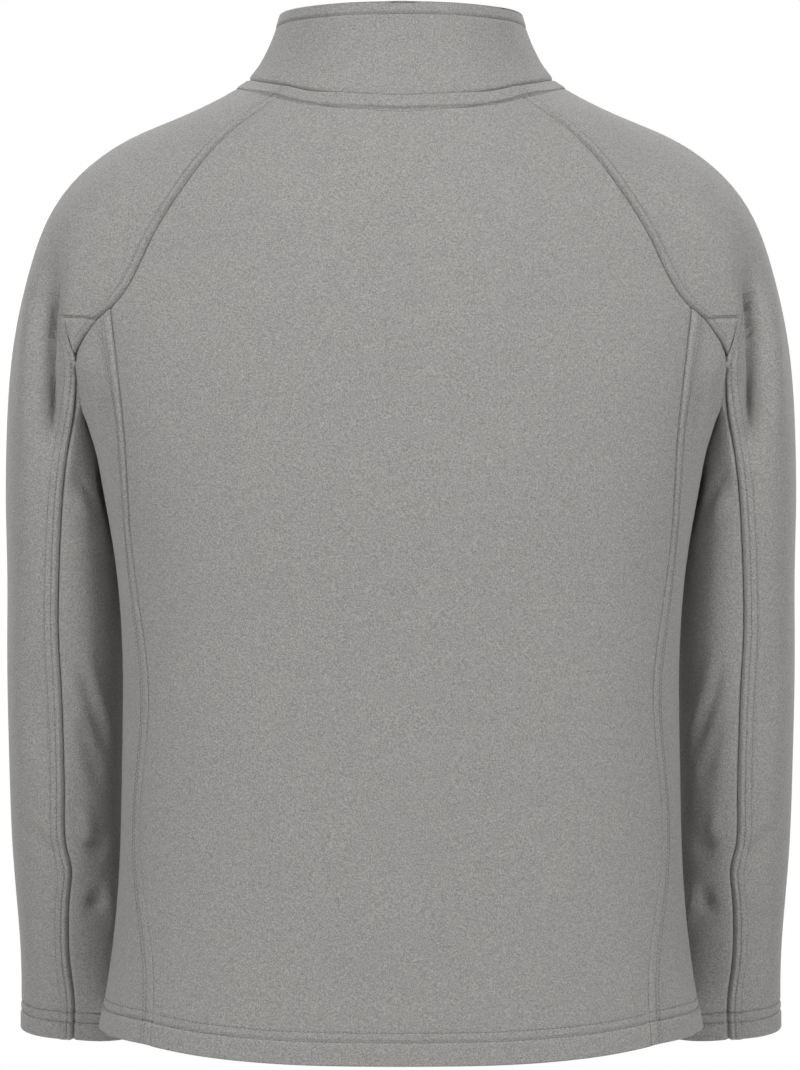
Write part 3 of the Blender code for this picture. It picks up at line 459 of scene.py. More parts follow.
def gussetTriangle():  # the small triangle of the top sleeve, behind the arm
    over = seamStops["gussetAcross"]
    plan = gusset[:, None, [0, 2]] * (1 - over)[:, None] + elbowUpper[:, None, [0, 2]] * over[:, None]
    triangle = faceOn(plan, 1, torsoLeftOut)
    triangle = drawnToSeams(triangle, triangle[0], gusset, elbowUpper, "triangle")
    triangle[-1] = underarm[0]
    return triangle


def topSleeve(triangle):
    left = np.concatenate([raglanBack, raglanBackEnd[1:], triangle[0][1:], elbow[1:]])
    frontSeam = sleeveFrontSeam(np.linspace(0, 1, 400))
    right = np.concatenate([raglanFront, raglanFrontEnd[1:], frontSeam[1:]])
    down, along = lengths(left) / lengths(left)[-1], lengths(right)
    rows, corner = down * along[-1], along[len(raglanFront) + len(raglanFrontEnd) - 2]
    near = np.abs(rows - corner).argmin()  # a row lies on the front's corner
    rows += (corner - rows[near]) * np.sin(math.pi * eased(rows, 0, 2 * corner))
    rows[near] = corner
    right = np.stack([np.interp(rows, along, right[:, axis]) for axis in range(3)], -1)
    places = [armPlaces(row) for row in (neckCap, left, right)]
    over = seamStops["cap"]
    bottom = places[1][-1] + (places[2][-1] - places[1][-1]) * over[:, None]
    plan = patch(places[0], bottom, places[1], places[2], down, over)
    rise = spline(*zip(*garment["capRise"]))(np.clip(lengths(left) / mm, 0, garment["capRise"][-1][0]))
    plan[..., 0] -= np.maximum(rise, 0) * mm * np.sin(math.pi * over)
    return drawnToSeams(roundArm(plan, torsoLeftOut), neckCap, left, right, "topSleeve")


def keepOff(points, panel, clearance):  # points pushed out until they stand clear of a panel
    tree = BVHTree.FromPolygons(panel.reshape(-1, 3).tolist(), quads(*panel.shape[:2]))
    moved = points.copy()
    for place in np.ndindex(points.shape[:2]):
        point = Vector(points[place])
        foot, normal, *_ = tree.find_nearest(point)
        short = clearance[place] - (point - foot).dot(normal)
        if short > 0:
            near = 1 - eased((point - foot).length / mm, *garment["clearNear"])
            moved[place] = point + normal * short * float(near)
    return moved


def underSleeve(side):  # the inside of the sleeve
    front = sleeveFrontSeam(lengths(elbowLower) / lengths(elbowLower)[-1])
    left, right = armPlaces(elbowLower), armPlaces(front)
    top = armPlaces(underarm)
    right[:, 1] += 2 * math.pi * np.round((top[-1, 1] - right[0, 1]) / (2 * math.pi))
    over = lengths(underarm) / lengths(underarm)[-1]
    bottom = left[-1] + (right[-1] - left[-1]) * over[:, None]
    bottom[:, 0] += garment["cuffDrop"] * mm * np.sin(math.pi * over)
    down = lengths(elbowLower) / lengths(elbowLower)[-1]
    grid = roundArm(patch(top, bottom, left, right, down, over), armDistance)
    grid = drawnToSeams(grid, underarm, elbowLower, front, "underSleeve")
    clearance = garment["clearance"] * mm * eased(runs(grid, 0), 0, garment["clearFrom"] * mm)
    grid[1:, 1:-1] = keepOff(grid, side, clearance)[1:, 1:-1]
    return grid


def collarHalf():
    neck, over = neckHalf, lengths(neckHalf) / lengths(neckHalf)[-1]
    edge = through(collarEdgeTable, over)
    edge[:, 0] = np.maximum(edge[:, 0], slitHalf * over**8)
    inward = -edge * [1, 1, 0]
    inward /= np.linalg.norm(inward, axis=1, keepdims=True)
    rows = []
    for part in seamStops["collar"]:
        bow = garment["collarBow"] * mm * math.sin(math.pi * part) * (1 - over**6)
        rows.append(neck * (1 - part) + edge * part + inward * bow[:, None])
    return np.array(rows)


def mirrored(grid):
    return grid[:, ::-1] * [-1, 1, 1]


def quads(rows, columns, leftOut=()):
    return [
        (a, a + 1, a + columns + 1, a + columns)
        for i in range(rows - 1) for j in range(columns - 1) if (i, j) not in leftOut
        for a in (i * columns + j,)
    ]


# what sewn and worn fleece shows on that form: seams pressed in, doubled cloth beside them, soft folds

seamLook = {  # mm and shares
    "dip": 1.0, "dipWidth": 1.2,                     # how far the cloth sinks into a seam
    "stepUp": (0.5, 2.4), "stepDown": (-0.6, 1.6),   # from the seam, and about the doubled cloth's far edge
    "rowWidth": 0.85,                                # to either side that a row of stitches presses in
    "pucker": 0.16, "puckerEvery": 8, "puckerPast": 2, "puckerDrift": (1.7, 31),
    "fadeIn": (14, 42), "fadedCloth": 0.2, "fadedDip": 0.3,  # a raglan seam comes up from the neck
    "aside": (96, 112), "asideBack": (-50, -10), "asideFlat": 0.55,  # the neck band over the shoulders
    "ahead": (10, 50), "aheadFlat": 0.5,             # and in front
    "clothFade": (200, 0.9), "dipFade": (300, 0.85),  # down a side seam
}

sewn = {  # mm: rise and width of the doubled cloth, rows of stitches, their depth; the seam's share of dip
    "raglan": (1.5, 5.6, (5.6,), 0.75, 1.4),
    "armhole": (1.5, 5.6, (5.6,), 0.75, 1.4),
    "neck": (1.9, 11.8, (12.0,), 2.4, 0.5),
    "elbow": (1.2, 10.2, (4.8, 10.4), 0.5, 2.1),
    "side": (0.7, 9.6, (6.8, 9.6), 0.7, 1.0),
    "plain": (0.35, 4.0, (), 0.0, 1.1),
    "slit": (0.5, 6.0, (5.6,), 0.6, 0.6),
}

hemLook = {  # mm: rows of stitches above the edge, how deep and wide they press, and the turned-up cloth
    "rows": (17.0, 24.0), "depth": (1.7, 0.5), "width": (1.0, 0.8),
    "lift": 0.7, "wave": 0.2, "waveEvery": 13,
}
cuffLook = {
    "rows": (14.5, 22.5), "depth": (1.5, 1.4), "width": (0.9, 0.9),
    "lift": 0.6, "wave": 0.16, "waveEvery": 11,
}
edgeLook = {  # mm, of hem and cuff alike
    "before": 1, "after": 1.5, "between": 0.3, "waveWide": 9, "waveDrift": (2.1, 37),
}
bandLook = {"row": 9.6, "depth": 1.3, "width": 0.9, "lift": 0.5, "step": 1}  # mm below the collar's top

foldedParts = {  # the panels that a fold shows on
    "sleeve": ("sleeve", "under"), "body": ("body",), "underarm": ("body", "under"),
}
foldLook = {"fadeIn": (-0.02, 0.3), "fadeOut": (0.7, 1.02), "samples": 20}  # shares of a fold's length

folds = [  # from behind (1) or in front (-1), where, mm of rise, mm wide, x and z along it
    (1, "sleeve", -7.5, 12, [(257, -100), (262, -150), (264, -196), (263, -240), (260, -290)]),
    (1, "sleeve", -10.5, 4.4, [(260, -128), (262.5, -160), (263, -196), (261, -232), (258.5, -275)]),
    (1, "sleeve", 3.2, 7, [(247, -222), (247.5, -256), (250, -300)]),
    (1, "sleeve", 2.0, 10, [(278, -130), (280, -180), (279, -240), (276, -290)]),
    (1, "sleeve", -2.2, 6, [(282, -553), (270, -570), (260, -583)]),
    (1, "sleeve", 1.6, 5, [(284, -545), (272, -560), (262, -572)]),
    (1, "sleeve", -1.6, 9, [(285, -420), (276, -470), (272, -520)]),
    (1, "sleeve", -1.6, 8, [(280, -620), (270, -660)]),
    (1, "sleeve", 2.6, 4, [(242, -541), (234, -570)]),
    (1, "sleeve", -3.6, 6, [(240, -566), (225, -576)]),
    (1, "sleeve", -4, 8, [(239, -610), (228, -618)]),
    (1, "sleeve", 2.6, 5, [(228, -596), (218, -640)]),
    (1, "sleeve", 3.0, 4.5, [(238, -420), (230, -455), (219, -490)]),
    (1, "sleeve", -2.6, 5, [(244, -470), (236, -500), (230, -530)]),
    (1, "sleeve", -3.4, 6, [(241, -428), (232, -468), (222, -505)]),
    (1, "body", -3.2, 7, [(221, -226), (216, -250), (214, -272)]),
    (1, "body", 1.6, 12, [(232, -200), (226, -222)]),
    (1, "underarm", 3.6, 7, [(236.5, -200), (237, -214), (236, -232), (232.5, -248)]),
    (1, "sleeve", -2.4, 4.2, [(246, -284), (238, -297), (228, -312)]),
    (1, "sleeve", 1.8, 5, [(242, -306), (232, -324)]),
    (-1, "sleeve", -2.6, 12, [(262, -150), (262, -200), (258, -250), (250, -290)]),
    (-1, "sleeve", -1.8, 9, [(288, -345), (270, -360), (250, -366)]),
    (-1, "sleeve", 1.2, 8, [(286, -330), (268, -344), (250, -350)]),
    (-1, "sleeve", -1.3, 8, [(280, -560), (262, -578), (246, -584)]),
    (-1, "body", -2.6, 13, [(196, -205), (178, -238), (150, -262), (120, -276)]),
    (-1, "body", 1.4, 12, [(196, -182), (170, -212), (142, -232)]),
    (-1, "body", -1.4, 14, [(160, -560), (158, -620), (164, -680)]),
]


def nearest(points, line):  # mm to a line, and mm along it
    flat, chunk = points.reshape(-1, 3), formLook["chunk"]
    run, step = lengths(line), np.diff(line, axis=0)
    square = (step**2).sum(1)
    distance, along = np.full(len(flat), np.inf), np.zeros(len(flat))
    for start in range(0, len(flat), chunk):
        some = flat[start : start + chunk]
        closest = ((some[:, None] - line[None]) ** 2).sum(-1).argmin(1)
        for first in (np.maximum(closest - 1, 0), np.minimum(closest, len(step) - 1)):
            t = np.clip(((some - line[first]) * step[first]).sum(-1) / square[first], 0, 1)
            gap = np.linalg.norm(some - line[first] - step[first] * t[:, None], axis=1)
            better = gap < distance[start : start + chunk]
            distance[start : start + chunk][better] = gap[better]
            along[start : start + chunk][better] = (run[first] + t * np.sqrt(square[first]))[better]
    return distance.reshape(points.shape[:-1]) / mm, along.reshape(points.shape[:-1]) / mm


def pressed(distance, row, depth, width):
    return -depth * np.exp(-(((distance - row) / width) ** 2))


def besideSeam(points, line, kind, doubled=True, fadeFrom=None):  # mm of rise beside one seam
    look, (lift, width, rows, rowDip, dip) = seamLook, sewn[kind]
    distance, along = nearest(points, line)
    rise = pressed(distance, 0, look["dip"] * dip, look["dipWidth"])
    more = np.zeros_like(rise)
    if doubled:
        low, high = look["stepDown"]
        more += lift * eased(distance, *look["stepUp"]) * (1 - eased(distance, width + low, width + high))
        more += sum(pressed(distance, row, rowDip, look["rowWidth"]) for row in rows)
    drift, driftEvery = look["puckerDrift"]
    wave = np.sin(along * 2 * math.pi / look["puckerEvery"] + drift * np.sin(along / driftEvery))
    near = np.exp(-((distance / (width + look["puckerPast"])) ** 2))
    more += look["pucker"] * wave * near * eased(distance, 0, look["puckerPast"])
    if kind == "raglan":
        shown = eased(along, *look["fadeIn"])
        more *= look["fadedCloth"] + (1 - look["fadedCloth"]) * shown
        rise *= look["fadedDip"] + (1 - look["fadedDip"]) * shown
    if kind == "neck":  # flatter over the shoulders and in front
        aside, behind = np.abs(points[..., 0]) / mm, points[..., 1] / mm
        more *= 1 - look["asideFlat"] * eased(aside, *look["aside"]) * eased(behind, *look["asideBack"])
        more *= 1 - look["aheadFlat"] * eased(-behind, *look["ahead"])
    if fadeFrom is not None:
        for part, (over, share) in ((more, look["clothFade"]), (rise, look["dipFade"])):
            part *= 1 - eased(along, fadeFrom, fadeFrom + over) * share
    return rise + more


def atEdge(grid, look):  # mm of rise above a turned-up hem or cuff
    below = runs(grid, 0)
    distance, run = (below[-1:] - below) / mm, runs(grid, 1) / mm
    (first, second), before, after = look["rows"], edgeLook["before"], edgeLook["after"]
    rise = look["lift"] * (1 - eased(distance, first - before, first + after))
    past, least = eased(distance, first, first + after), edgeLook["between"]
    rise += least * look["lift"] * past * (1 - eased(distance, second - before, second + after))
    for row, depth, width in zip(look["rows"], look["depth"], look["width"]):
        rise += pressed(distance, row, depth, width)
    drift, driftEvery = edgeLook["waveDrift"]
    wave = np.sin(run * 2 * math.pi / look["waveEvery"] + drift * np.sin(run / driftEvery))
    return rise + look["wave"] * wave * np.exp(-(((distance - first) / edgeLook["waveWide"]) ** 2))


def foldRise(points, part):
    total = np.zeros(points.shape[:-1])
    for side, name, depth, width, plan in folds:
        if part not in foldedParts[name]:
            continue
        plan = np.array(plan, float) * mm
        samples = foldLook["samples"] * min(len(plan) - 1, 2)  # a straight fold needs fewer
        plan = spline(lengths(plan), plan)(np.linspace(0, lengths(plan)[-1], samples))
        line = faceOnSleeve(plan, side) if name == "sleeve" else faceOn(plan, side, armLeftOut)
        distance, along = nearest(points, line)
        end = lengths(line)[-1] / mm
        (begin, full), (still, gone) = foldLook["fadeIn"], foldLook["fadeOut"]
        taper = eased(along, begin * end, full * end) * (1 - eased(along, still * end, gone * end))
        total += depth * taper * np.exp(-((distance / width) ** 2))
    return total


waveLook = {"size": 62, "height": 1.0, "upright": 0.45}  # mm, and the share that heights count for


def softWaves(points):  # mm of gentle unevenness
    flat = points.reshape(-1, 3) * [1, 1, waveLook["upright"]] / (waveLook["size"] * mm)
    waves = np.array([noise.noise(Vector(point)) for point in flat]).reshape(points.shape[:-1])
    return waveLook["height"] * waves


pastCentre = 30  # points of the neck's seam that go on past the centre back
neckLine = np.concatenate([(neckHalf[1:pastCentre] * [-1, 1, 1])[::-1], neckHalf])
backRaglanLine = np.concatenate([raglanBack, raglanBackEnd[1:], gusset[1:], underarm[1:]])
frontRaglanLine = np.concatenate([raglanFront, raglanFrontEnd[1:]])

knotLook = {  # where the layers of a raglan seam cross the neck band
    "at": 6.5, "wide": 5.5,                    # mm down the raglan seam, mm
    "rise": 1.0, "pinch": 0.5, "rings": 1.5, "rays": 6,
}


def knots(points):
    total = np.zeros(points.shape[:-1])
    for line in (raglanBack, raglanFront):
        middle = line[np.abs(lengths(line) - knotLook["at"] * mm).argmin()]
        away = np.linalg.norm(points - middle, axis=-1) / mm
        turn = np.arctan2(points[..., 2] - middle[2], points[..., 0] - middle[0])
        pinch = np.sin(away * knotLook["rings"] + knotLook["rays"] * turn)
        rise = knotLook["rise"] + knotLook["pinch"] * pinch
        total += rise * np.exp(-((away / knotLook["wide"]) ** 2))
    return total


# each panel of the left half with how far its points rise, in mm

sideFadesFrom = 90  # mm down a side seam


def bodyRise(grid):
    return atEdge(grid, hemLook), foldRise(grid, "body"), softWaves(grid)


def madeBack():
    grid = backHalf()
    rise = besideSeam(grid, neckLine, "neck") + knots(grid)
    rise += besideSeam(grid, backRaglanLine, "raglan", False)
    rise += besideSeam(grid, sideBack, "side", False, sideFadesFrom)
    return grid, sum(bodyRise(grid), rise)


def madeFront():
    grid, slitRow = frontHalf()
    rise = besideSeam(grid, neckLine, "neck") + knots(grid)
    rise += besideSeam(grid, frontRaglanLine, "raglan", False)
    rise += besideSeam(grid, sideFront, "side", False, sideFadesFrom)
    slit = np.array([[slitHalf, y, z] for y, z in grid[: slitRow + 1, 0, 1:]])
    rise += besideSeam(grid, slit, "slit")
    return grid, sum(bodyRise(grid), rise), slitRow


def madeSide():
    grid = sidePanel()
    rise = besideSeam(grid, armhole, "armhole", False)
    for seam in (sideBack, sideFront):
        rise += besideSeam(grid, seam, "side", True, sideFadesFrom)
    return grid, sum(bodyRise(grid), rise)


def madeSleeve(side):
    triangle = gussetTriangle()
    top, under = topSleeve(triangle), underSleeve(side)
    frontSeam = sleeveFrontSeam(np.linspace(0, 1, 300))
    raglanToPoint = backRaglanLine[: len(raglanBack) + len(raglanBackEnd) + len(gusset) - 2]
    found = []
    for grid, part in ((top, "sleeve"), (triangle, "sleeve"), (under, "under")):
        outer = part == "sleeve"
        seams = [besideSeam(grid, seam, "elbow", outer) for seam in (elbowLower, frontSeam)]
        if outer:
            seams += [besideSeam(grid, triangle[0], "plain"), besideSeam(grid, neckLine, "neck")]
            seams += [besideSeam(grid, seam, "raglan") for seam in (raglanToPoint, frontRaglanLine)]
        else:
            seams.append(besideSeam(grid, underarm, "armhole", False))
        rise = np.maximum(seams, 0).max(0) + np.minimum(seams, 0).min(0)  # crossing layers don't add up
        rise += foldRise(grid, part) + softWaves(grid)
        found.append([grid, rise + knots(grid) if outer else rise])
    for grid, rise in (found[0], found[2]):
        rise += atEdge(grid, cuffLook)
    return found


collarLook = {  # mm
    "ahead": (0, 45),                                # forward of the middle, as the front's shape comes in
    "foot": (1.1, 0.9), "footUp": (-0.6, 2.2), "footDown": (1, 16),  # its foot stands out, less in front
    "behind": (1.3, 0.75), "behindUp": (-1.6, 1.8),  # the lowest cloth lies behind the neck band
    "tuck": 1.6,                                     # and runs on down behind it
}


def madeCollar():
    grid, look = collarHalf(), collarLook
    down = grid[0] - grid[1]
    down /= np.linalg.norm(down, axis=1, keepdims=True)
    grid = np.concatenate([(grid[0] + down * look["tuck"] * mm)[None], grid])
    fromNeck, fromEdge = runs(grid, 0) / mm - look["tuck"], (runs(grid, 0)[-1:] - runs(grid, 0)) / mm
    ahead = eased(-grid[..., 1] / mm, *look["ahead"])
    (foot, footLess), (behind, behindLess) = look["foot"], look["behind"]
    rise = (foot - footLess * ahead) * (1 - eased(fromNeck, *look["footDown"]))
    rise *= eased(fromNeck, *look["footUp"])
    rise -= (behind - behindLess * ahead) * (1 - eased(fromNeck, *look["behindUp"]))
    row, step = bandLook["row"], bandLook["step"]
    rise += pressed(fromEdge, row, bandLook["depth"], bandLook["width"])
    rise += bandLook["lift"] * (1 - eased(fromEdge, row - step, row + step))
    return grid, rise + softWaves(grid)


# closed walls of cloth with rounded edges

wallLook = {  # mm
    "fleece": 2.4, "collar": 4.8,                     # thick
    "gap": 0.03,                                      # clear between panels sewn together
    "round": 0.55, "folded": 2.0, "turnedUp": 1.1,    # rounding of a seam, the collar's top and a hem
    "rings": 4, "corner": 1.2,                        # steps of that rounding, and its reach at a corner
    "neckTight": (0.8, -36, -16),                     # seams drawn up: share, and heights over which
    "sideTight": (0.75, 380, 560),                    # the same down the side seams
    "turnedUpBelow": -690, "facesUp": 0.8,            # what counts as a hem or a cuff
    "foldedAbove": 40,                                # from the collar's lowest point
    "sewnWithin": 3,                                  # edges nearer than this are sewn together
    "merge": 0.02, "mergeShift": 0.137,               # size and shift of the cells that make points one
}


class Panel:
    def __init__(self, name, grids, rises, thick, leftOut=(), turned=False):
        self.name, self.thick = name, thick * mm
        points, lifted, faces, number = [], [], [], {}
        for grid, rise in zip(grids, rises):
            flat, up = grid.reshape(-1, 3), rise.reshape(-1)
            keys = np.round(flat / (wallLook["merge"] * mm) + wallLook["mergeShift"]).astype(np.int64)
            index = []
            for key, point, height in zip(map(tuple, keys), flat, up):
                if key not in number:
                    number[key] = len(points)
                    points.append(point)
                    lifted.append(height)
                index.append(number[key])
            cells = [[index[i] for i in face] for face in quads(*grid.shape[:2], leftOut)]
            faces += [cell for cell in cells if len(set(cell)) > 2]
        self.faces = np.array(faces)[:, ::-1] if turned else np.array(faces)
        self.points, self.rise = np.array(points), np.array(lifted) * mm
        self.normals = smoothNormals(self.points, self.faces)
        ends = np.stack([self.faces, np.roll(self.faces, -1, 1)], -1).reshape(-1, 2)
        sides = {(a, b) for a, b in ends.tolist() if a != b}
        self.border = np.array([side for side in sides if side[::-1] not in sides])


def smoothNormals(points, faces):
    a, b, c, d = (points[faces[:, i]] for i in range(4))
    across = np.cross(c - a, d - b)
    normals = np.zeros_like(points)
    for i in range(4):
        np.add.at(normals, faces[:, i], across)
    return normals / (np.linalg.norm(normals, axis=1, keepdims=True) + tiny)


def meetAtSeams(panels):  # neighbouring panels turn the same way where they are sewn together
    reach = wallLook["sewnWithin"] * mm
    ends = [np.unique(panel.border) for panel in panels]
    before = [panel.normals[end] for panel, end in zip(panels, ends)]
    for i, panel in enumerate(panels):
        total = before[i].copy()
        mine = panel.points[ends[i]]
        for j, other in enumerate(panels):
            if i == j:
                continue
            theirs = other.points[ends[j]]
            if (mine.min(0) > theirs.max(0) + reach).any() or (mine.max(0) < theirs.min(0) - reach).any():
                continue
            gap = ((mine[:, None] - theirs[None]) ** 2).sum(-1)
            near = gap.argmin(1)
            close = gap[np.arange(len(mine)), near] < reach**2
            total[close] += before[j][near[close]]
        panel.normals[ends[i]] = total / np.linalg.norm(total, axis=1, keepdims=True)


def intoPanel(panel, edge):  # for each point, the way in from the border that it lies on
    inward = np.zeros_like(panel.points)
    for a, b in panel.border:
        way = np.cross(panel.normals[a] + panel.normals[b], panel.points[b] - panel.points[a])
        inward[[a, b]] += way / (np.linalg.norm(way) + tiny)
    size = np.linalg.norm(inward[edge], axis=1, keepdims=True)
    inward[edge] *= 2 / np.maximum(size, wallLook["corner"]) ** 2  # meets both sides at a corner
    return inward


def closedWall(name, panel, material, rounded=wallLook["round"], gap=wallLook["gap"], foldedAbove=None):
    points, border = panel.points, panel.border
    edge = np.unique(border)
    inward = intoPanel(panel, edge)
    height = points[edge, 2:] / mm
    share, low, high = wallLook["neckTight"]
    tight = 1 - share * eased(height, low, high)
    if "sleeve" not in panel.name:
        share, low, high = wallLook["sideTight"]
        tight = tight * (1 - share * eased(-height, low, high))
    rounding = np.full((len(edge), 1), rounded * mm)
    rounding, shift = rounding * tight, (rounding + gap * mm / 2) * tight
    turnedUp = (height[:, 0] < wallLook["turnedUpBelow"]) & (inward[edge, 2] > wallLook["facesUp"])
    rounding[turnedUp] = shift[turnedUp] = wallLook["turnedUp"] * mm
    if foldedAbove is not None:  # cloth turned over at its upper edge
        folded = points[edge, 2] > foldedAbove
        rounding[folded] = shift[folded] = wallLook["folded"] * mm
    outer = points + panel.normals * panel.rise[:, None]
    outer[edge] += inward[edge] * shift
    inner = outer - panel.normals * panel.thick
    middle = (outer[edge] + inner[edge]) / 2
    half = panel.normals[edge] * panel.thick / 2
    count, rings = len(points), wallLook["rings"]
    turns = [math.pi * k / rings for k in range(1, rings)]
    layers = [middle + half * math.cos(t) - inward[edge] * rounding * math.sin(t) for t in turns]
    place = np.full(count, -1)
    place[edge] = np.arange(len(edge))
    numbers = np.arange(count)
    between = [2 * count + k * len(edge) + place for k in range(rings - 1)]
    circles = [numbers, *between, numbers + count]
    cells = [[i for i, before in zip(face, face[-1:] + face[:-1]) if i != before]
             for face in panel.faces.tolist()]
    found = cells + [[i + count for i in cell[::-1]] for cell in cells]
    for near, far in zip(circles, circles[1:]):
        strip = [near[border[:, 1]], near[border[:, 0]], far[border[:, 0]], far[border[:, 1]]]
        found += np.stack(strip, 1).tolist()
    data = bpy.data.meshes.new(name)
    data.from_pydata(np.concatenate([outer, inner, *layers]).tolist(), [], found)
    return placed(name, data, material)


def placed(name, data, material):
    data.shade_smooth()
    data.materials.append(material)
    made = bpy.data.objects.new(name, data)
    bpy.context.scene.collection.objects.link(made)
    return made


# small shapes modelled once and copied: the stitches here, the coil's loops further down

def shaped(size, turned=None):  # the primitive just added, turned about an axis and sized in edit mode
    made = bpy.context.object
    bpy.ops.object.mode_set(mode="EDIT")
    bpy.ops.mesh.select_all(action="SELECT")
    if turned:
        bpy.ops.transform.rotate(value=math.pi / 2, orient_axis=turned, center_override=(0, 0, 0))
    bpy.ops.transform.resize(value=[length * mm for length in size], center_override=(0, 0, 0))
    bpy.ops.object.mode_set(mode="OBJECT")
    return made


def copied(name, shape, places, material):  # one copy of the shape at each place, as one piece
    copies = bmesh.new()
    for place in places:
        shape.data.transform(place)
        copies.from_mesh(shape.data)
        shape.data.transform(place.inverted())
    data = bpy.data.meshes.new(name)
    copies.to_mesh(data)
    copies.free()
    bpy.data.objects.remove(shape)
    return placed(name, data, material)


def placeAt(middle, axes):
    return Matrix.Translation(Vector(middle)) @ Matrix(axes).transposed().to_4x4()


# rows of stitches that follow the seams and edges on the raised cloth

threadLook = {  # mm; reach is how far to either side a stitch takes its direction from
    # colour: the thread's own grey, made darker than the cloth as painted shade along the sunken rows
    "pitch": 3.1, "length": 2.3, "thick": 0.55, "sunk": 0.08, "reach": 0.8, "colour": "838180",
}


def raisedGrid(grid, rise, turned=False):
    normals = np.cross(np.gradient(grid, axis=1), np.gradient(grid, axis=0)) * (-1 if turned else 1)
    normals /= np.linalg.norm(normals, axis=-1, keepdims=True) + tiny
    return grid + normals * rise[..., None] * mm, normals


def rowAt(grid, rise, axis, distance, fromEnd=False, turned=False):  # a line so many mm from one edge
    points, normals = raisedGrid(grid, rise, turned)
    if axis == 0:
        grid, points, normals = (np.swapaxes(each, 0, 1) for each in (grid, points, normals))
    if fromEnd:
        grid, points, normals = grid[:, ::-1], points[:, ::-1], normals[:, ::-1]
    return np.array([
        [np.interp(distance, along, values[:, i]) for values in (place, normal) for i in range(3)]
        for along, place, normal in zip(runs(grid, 1) / mm, points, normals) if along[-1] > distance
    ])


def stitchPlaces(row):
    run, pitch, reach = lengths(row[:, :3]) / mm, threadLook["pitch"], threadLook["reach"]
    middles = (np.arange(int(run[-1] / pitch)) + 0.5) * pitch
    before, here, after = (
        np.stack([np.interp(middles + shift, run, row[:, i]) for i in range(6)], -1)
        for shift in (-reach, 0, reach)
    )
    places = []
    for start, middle, end in zip(before, here, after):
        along = Vector(end[:3] - start[:3]).normalized()
        across = Vector(middle[3:]).cross(along).normalized()
        up = along.cross(across)
        lifted = up * (threadLook["thick"] / 2 - threadLook["sunk"]) * mm
        places.append(placeAt(Vector(middle[:3]) + lifted, (along, across, up)))
    return places


def stitched(name, rows, material):
    bpy.ops.object.select_all(action="DESELECT")
    bpy.ops.mesh.primitive_uv_sphere_add(segments=6, ring_count=4, radius=0.5)
    stitch = shaped((threadLook["length"], threadLook["thick"], threadLook["thick"]), "Y")
    return copied(name, stitch, [place for row in rows for place in stitchPlaces(row)], material)


# finishes

def colour(text, alpha=1.0):  # an sRGB hex value as linear light
    parts = [int(text[i : i + 2], 16) / 255 for i in (0, 2, 4)]
    return [c / 12.92 if c <= 0.04045 else ((c + 0.055) / 1.055) ** 2.4 for c in parts] + [alpha]


def add(tree, kind, links=None, **settings):  # a node; links go from its sockets to outputs or values
    made = tree.nodes.new(kind)
    for name, value in settings.items():
        setattr(made, name, value)
    for name, value in (links or {}).items():
        if isinstance(value, bpy.types.NodeSocket):
            tree.links.new(value, made.inputs[name])
        else:
            made.inputs[name].default_value = value
    return made


def newMaterial(name):
    made = bpy.data.materials.new(name)
    made.use_nodes = True
    made.node_tree.nodes.clear()
    return made, made.node_tree


fleeceLook = {
    # dark: the nap's darker tips, and also painted shade between the tufts
    "light": "b1b0ad", "dark": "868684", "warm": "aeaaa9",
    "fibre": 0.78, "tuft": 1.2, "patch": 60,  # mm: single tips, tufts of the nap, slow changes
    "speck": (0.72, 1.28),                    # tips and tufts together, from the darkest to the lightest; the dark end partly painted shade in hollows
    "relief": 0.5,                            # mm that the tufts stand up
    "sheen": 0.18,
}


def brushedFleece():  # knitted polyester brushed to a short nap: matt, speckled by its tufts' uneven tone and by painted shade where the nap sinks, pale edges
    made, tree = newMaterial("brushed polyester fleece")
    place = add(tree, "ShaderNodeTexCoord").outputs["Object"]
    fibre, tuft, patch = (
        add(tree, "ShaderNodeTexNoise", {
            "Vector": place, "Scale": 1000 / fleeceLook[name], "Detail": detail, "Roughness": roughness,
        }).outputs["Fac"]
        for name, detail, roughness in (("fibre", 2.0, 0.6), ("tuft", 1.0, 0.5), ("patch", 2.0, 0.5))
    )
    both = add(tree, "ShaderNodeMath", {0: fibre, 1: tuft}, operation="ADD").outputs[0]
    low, high = fleeceLook["speck"]
    speck = add(tree, "ShaderNodeMapRange", {"Value": both, "From Min": low, "From Max": high}).outputs[0]
    light, dark, warm = (colour(fleeceLook[name]) for name in ("light", "dark", "warm"))
    ground = add(tree, "ShaderNodeMix", {0: patch, 6: light, 7: warm}, data_type="RGBA").outputs[2]
    # painted shade: where the bump's heights are low the colour goes to dark, over the nap's uneven tone
    mixed = add(tree, "ShaderNodeMix", {0: speck, 6: dark, 7: ground}, data_type="RGBA").outputs[2]
    bump = add(tree, "ShaderNodeBump", {
        "Height": both, "Distance": fleeceLook["relief"] * mm, "Strength": 1.0,
    })
    shader = add(tree, "ShaderNodeBsdfPrincipled", {
        "Base Color": mixed, "Roughness": 0.95, "Sheen Weight": fleeceLook["sheen"],
        "Sheen Roughness": 0.6, "Specular IOR Level": 0.15, "Normal": bump.outputs["Normal"],
    })
    add(tree, "ShaderNodeOutputMaterial", {"Surface": shader.outputs[0]})
    return made


def plainMaterial(name, text, roughness, grain, depth):  # one colour with a fine grain, its depth in mm
    made, tree = newMaterial(name)
    place = add(tree, "ShaderNodeTexCoord").outputs["Object"]
    texture = add(tree, "ShaderNodeTexNoise", {"Vector": place, "Scale": 1000 / grain, "Detail": 2.0})
    bump = add(tree, "ShaderNodeBump", {"Height": texture.outputs["Fac"], "Distance": depth * mm})
    shader = add(tree, "ShaderNodeBsdfPrincipled", {
        "Base Color": colour(text), "Roughness": roughness, "Normal": bump.outputs["Normal"],
    })
    add(tree, "ShaderNodeOutputMaterial", {"Surface": shader.outputs[0]})
    return made


# the pullover's panels

fleece = brushedFleece()


def bothHalves(half):
    return np.concatenate([mirrored(half), half[:, 1:]], axis=1)


def bothRises(rise):
    return np.concatenate([rise[:, ::-1], rise[:, 1:]], axis=1)


